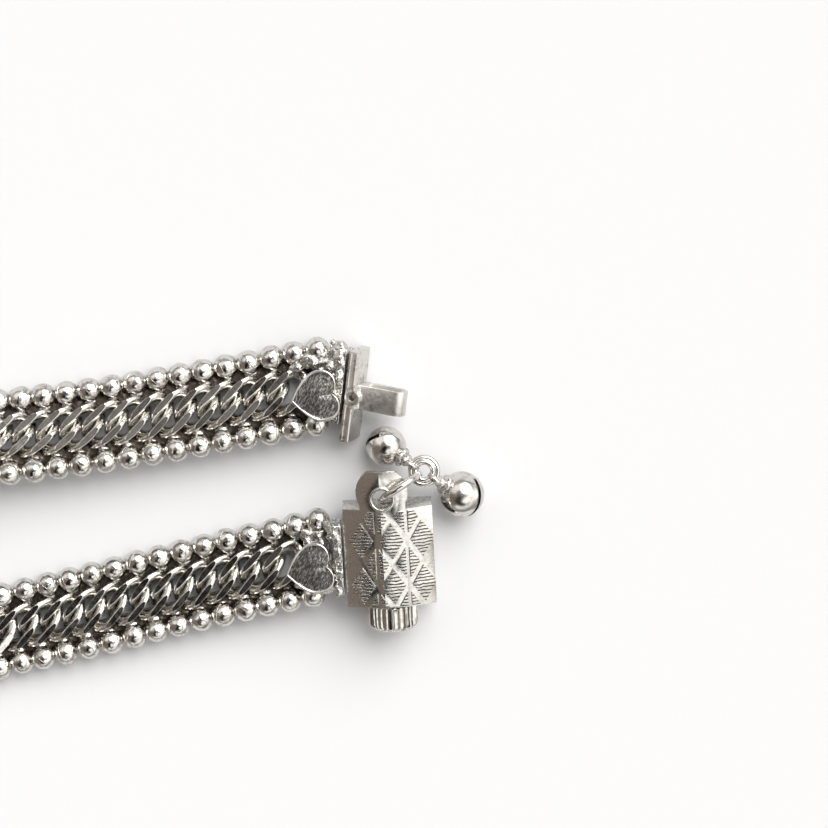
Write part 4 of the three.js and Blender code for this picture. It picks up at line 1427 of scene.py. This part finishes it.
# A bell of two pressed halves, with a slot that runs half round it, a loop and its solder.
def makeBell(name, bell):
    radius = bell["diameter"] / 2
    middle, toLoop = bellPlace(bell)
    slotOut = direction(bell["slotTurn"], bell["slotLift"])
    slotSide = direction(bell["slotSide"], 0)
    slotSide = (slotSide - slotOut * slotSide.dot(slotOut)).normalized()
    seam = slotOut.cross(slotSide)
    shape = bmesh.new()
    turn = Matrix((slotOut, slotSide, seam)).transposed().to_4x4()
    bmesh.ops.create_uvsphere(shape, u_segments=64, v_segments=48, radius=radius)
    for vertex in shape.verts:  # a low band where the halves meet
        swell = math.exp(-(vertex.co.z / bellSizes["bandWidth"]) ** 4) * bellSizes["bandRise"]
        vertex.co *= 1 + swell / radius
    inner = bmesh.ops.create_uvsphere(
        shape, u_segments=40, v_segments=28, radius=radius - bellSizes["wall"])
    innerFaces = {face for vertex in inner["verts"] for face in vertex.link_faces}
    bmesh.ops.reverse_faces(shape, faces=list(innerFaces))
    bmesh.ops.transform(shape, matrix=Matrix.Translation(middle) @ turn, verts=shape.verts)
    shell = pieceFromBmesh("bell_" + name, shape, Matrix.Identity(4), brightMetal)
    cutter = bmesh.new()
    slotSize = (radius, bell["diameter"] * bellSizes["slotWidth"], bellSizes["slot"], 1)
    bmesh.ops.create_cube(cutter, size=1, matrix=Matrix.Translation(middle) @ turn
                          @ Matrix.Translation((radius, 0, 0)) @ Matrix.Diagonal(slotSize))
    slot = pieceFromBmesh("slot", cutter, Matrix.Identity(4), brightMetal, smooth=False)
    cut = shell.modifiers.new("slot", "BOOLEAN")
    cut.object = slot
    cut.operation = "DIFFERENCE"
    cut.solver = "EXACT"
    keepResult(shell)
    bpy.data.objects.remove(slot)
    smoothByAngle(shell, 40)
    side = Vector((0, 0, 1)).cross(toLoop).normalized()
    fitting = bmesh.new()
    loopWire = bellSizes["loopWire"] * bellSizes["loopFullness"]
    addTorus(fitting, middle + toLoop * loopReach(bell), side, bellSizes["loop"], loopWire, 48, 12)
    shankMiddle = middle + toLoop * (radius + bellSizes["shank"] / 2)
    aim = toLoop.to_track_quat("Z", "Y").to_matrix().to_4x4()
    bmesh.ops.create_cone(fitting, cap_ends=True, segments=20, radius1=bellSizes["shankWire"],
                          radius2=bellSizes["shankWire"] * 0.7, depth=bellSizes["shank"] + 0.5,
                          matrix=Matrix.Translation(shankMiddle) @ aim)
    for out, size in bellSizes["solder"]:
        bmesh.ops.create_icosphere(fitting, subdivisions=3, radius=0.5, matrix=Matrix.Translation(
            middle + toLoop * (radius + out)) @ aim @ Matrix.Diagonal((*size, 1)))
    bmesh.ops.recalc_face_normals(fitting, faces=fitting.faces)
    loop = pieceFromBmesh(f"bell_{name}_loop", fitting, Matrix.Identity(4), castMetal)
    smoothByAngle(loop, 50)
    for piece in (shell, loop):
        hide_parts("bell_" + name)
        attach(piece, "band")


makeRings()
for name, bell in bells.items():
    makeBell(name, bell)
print("rings and bells")
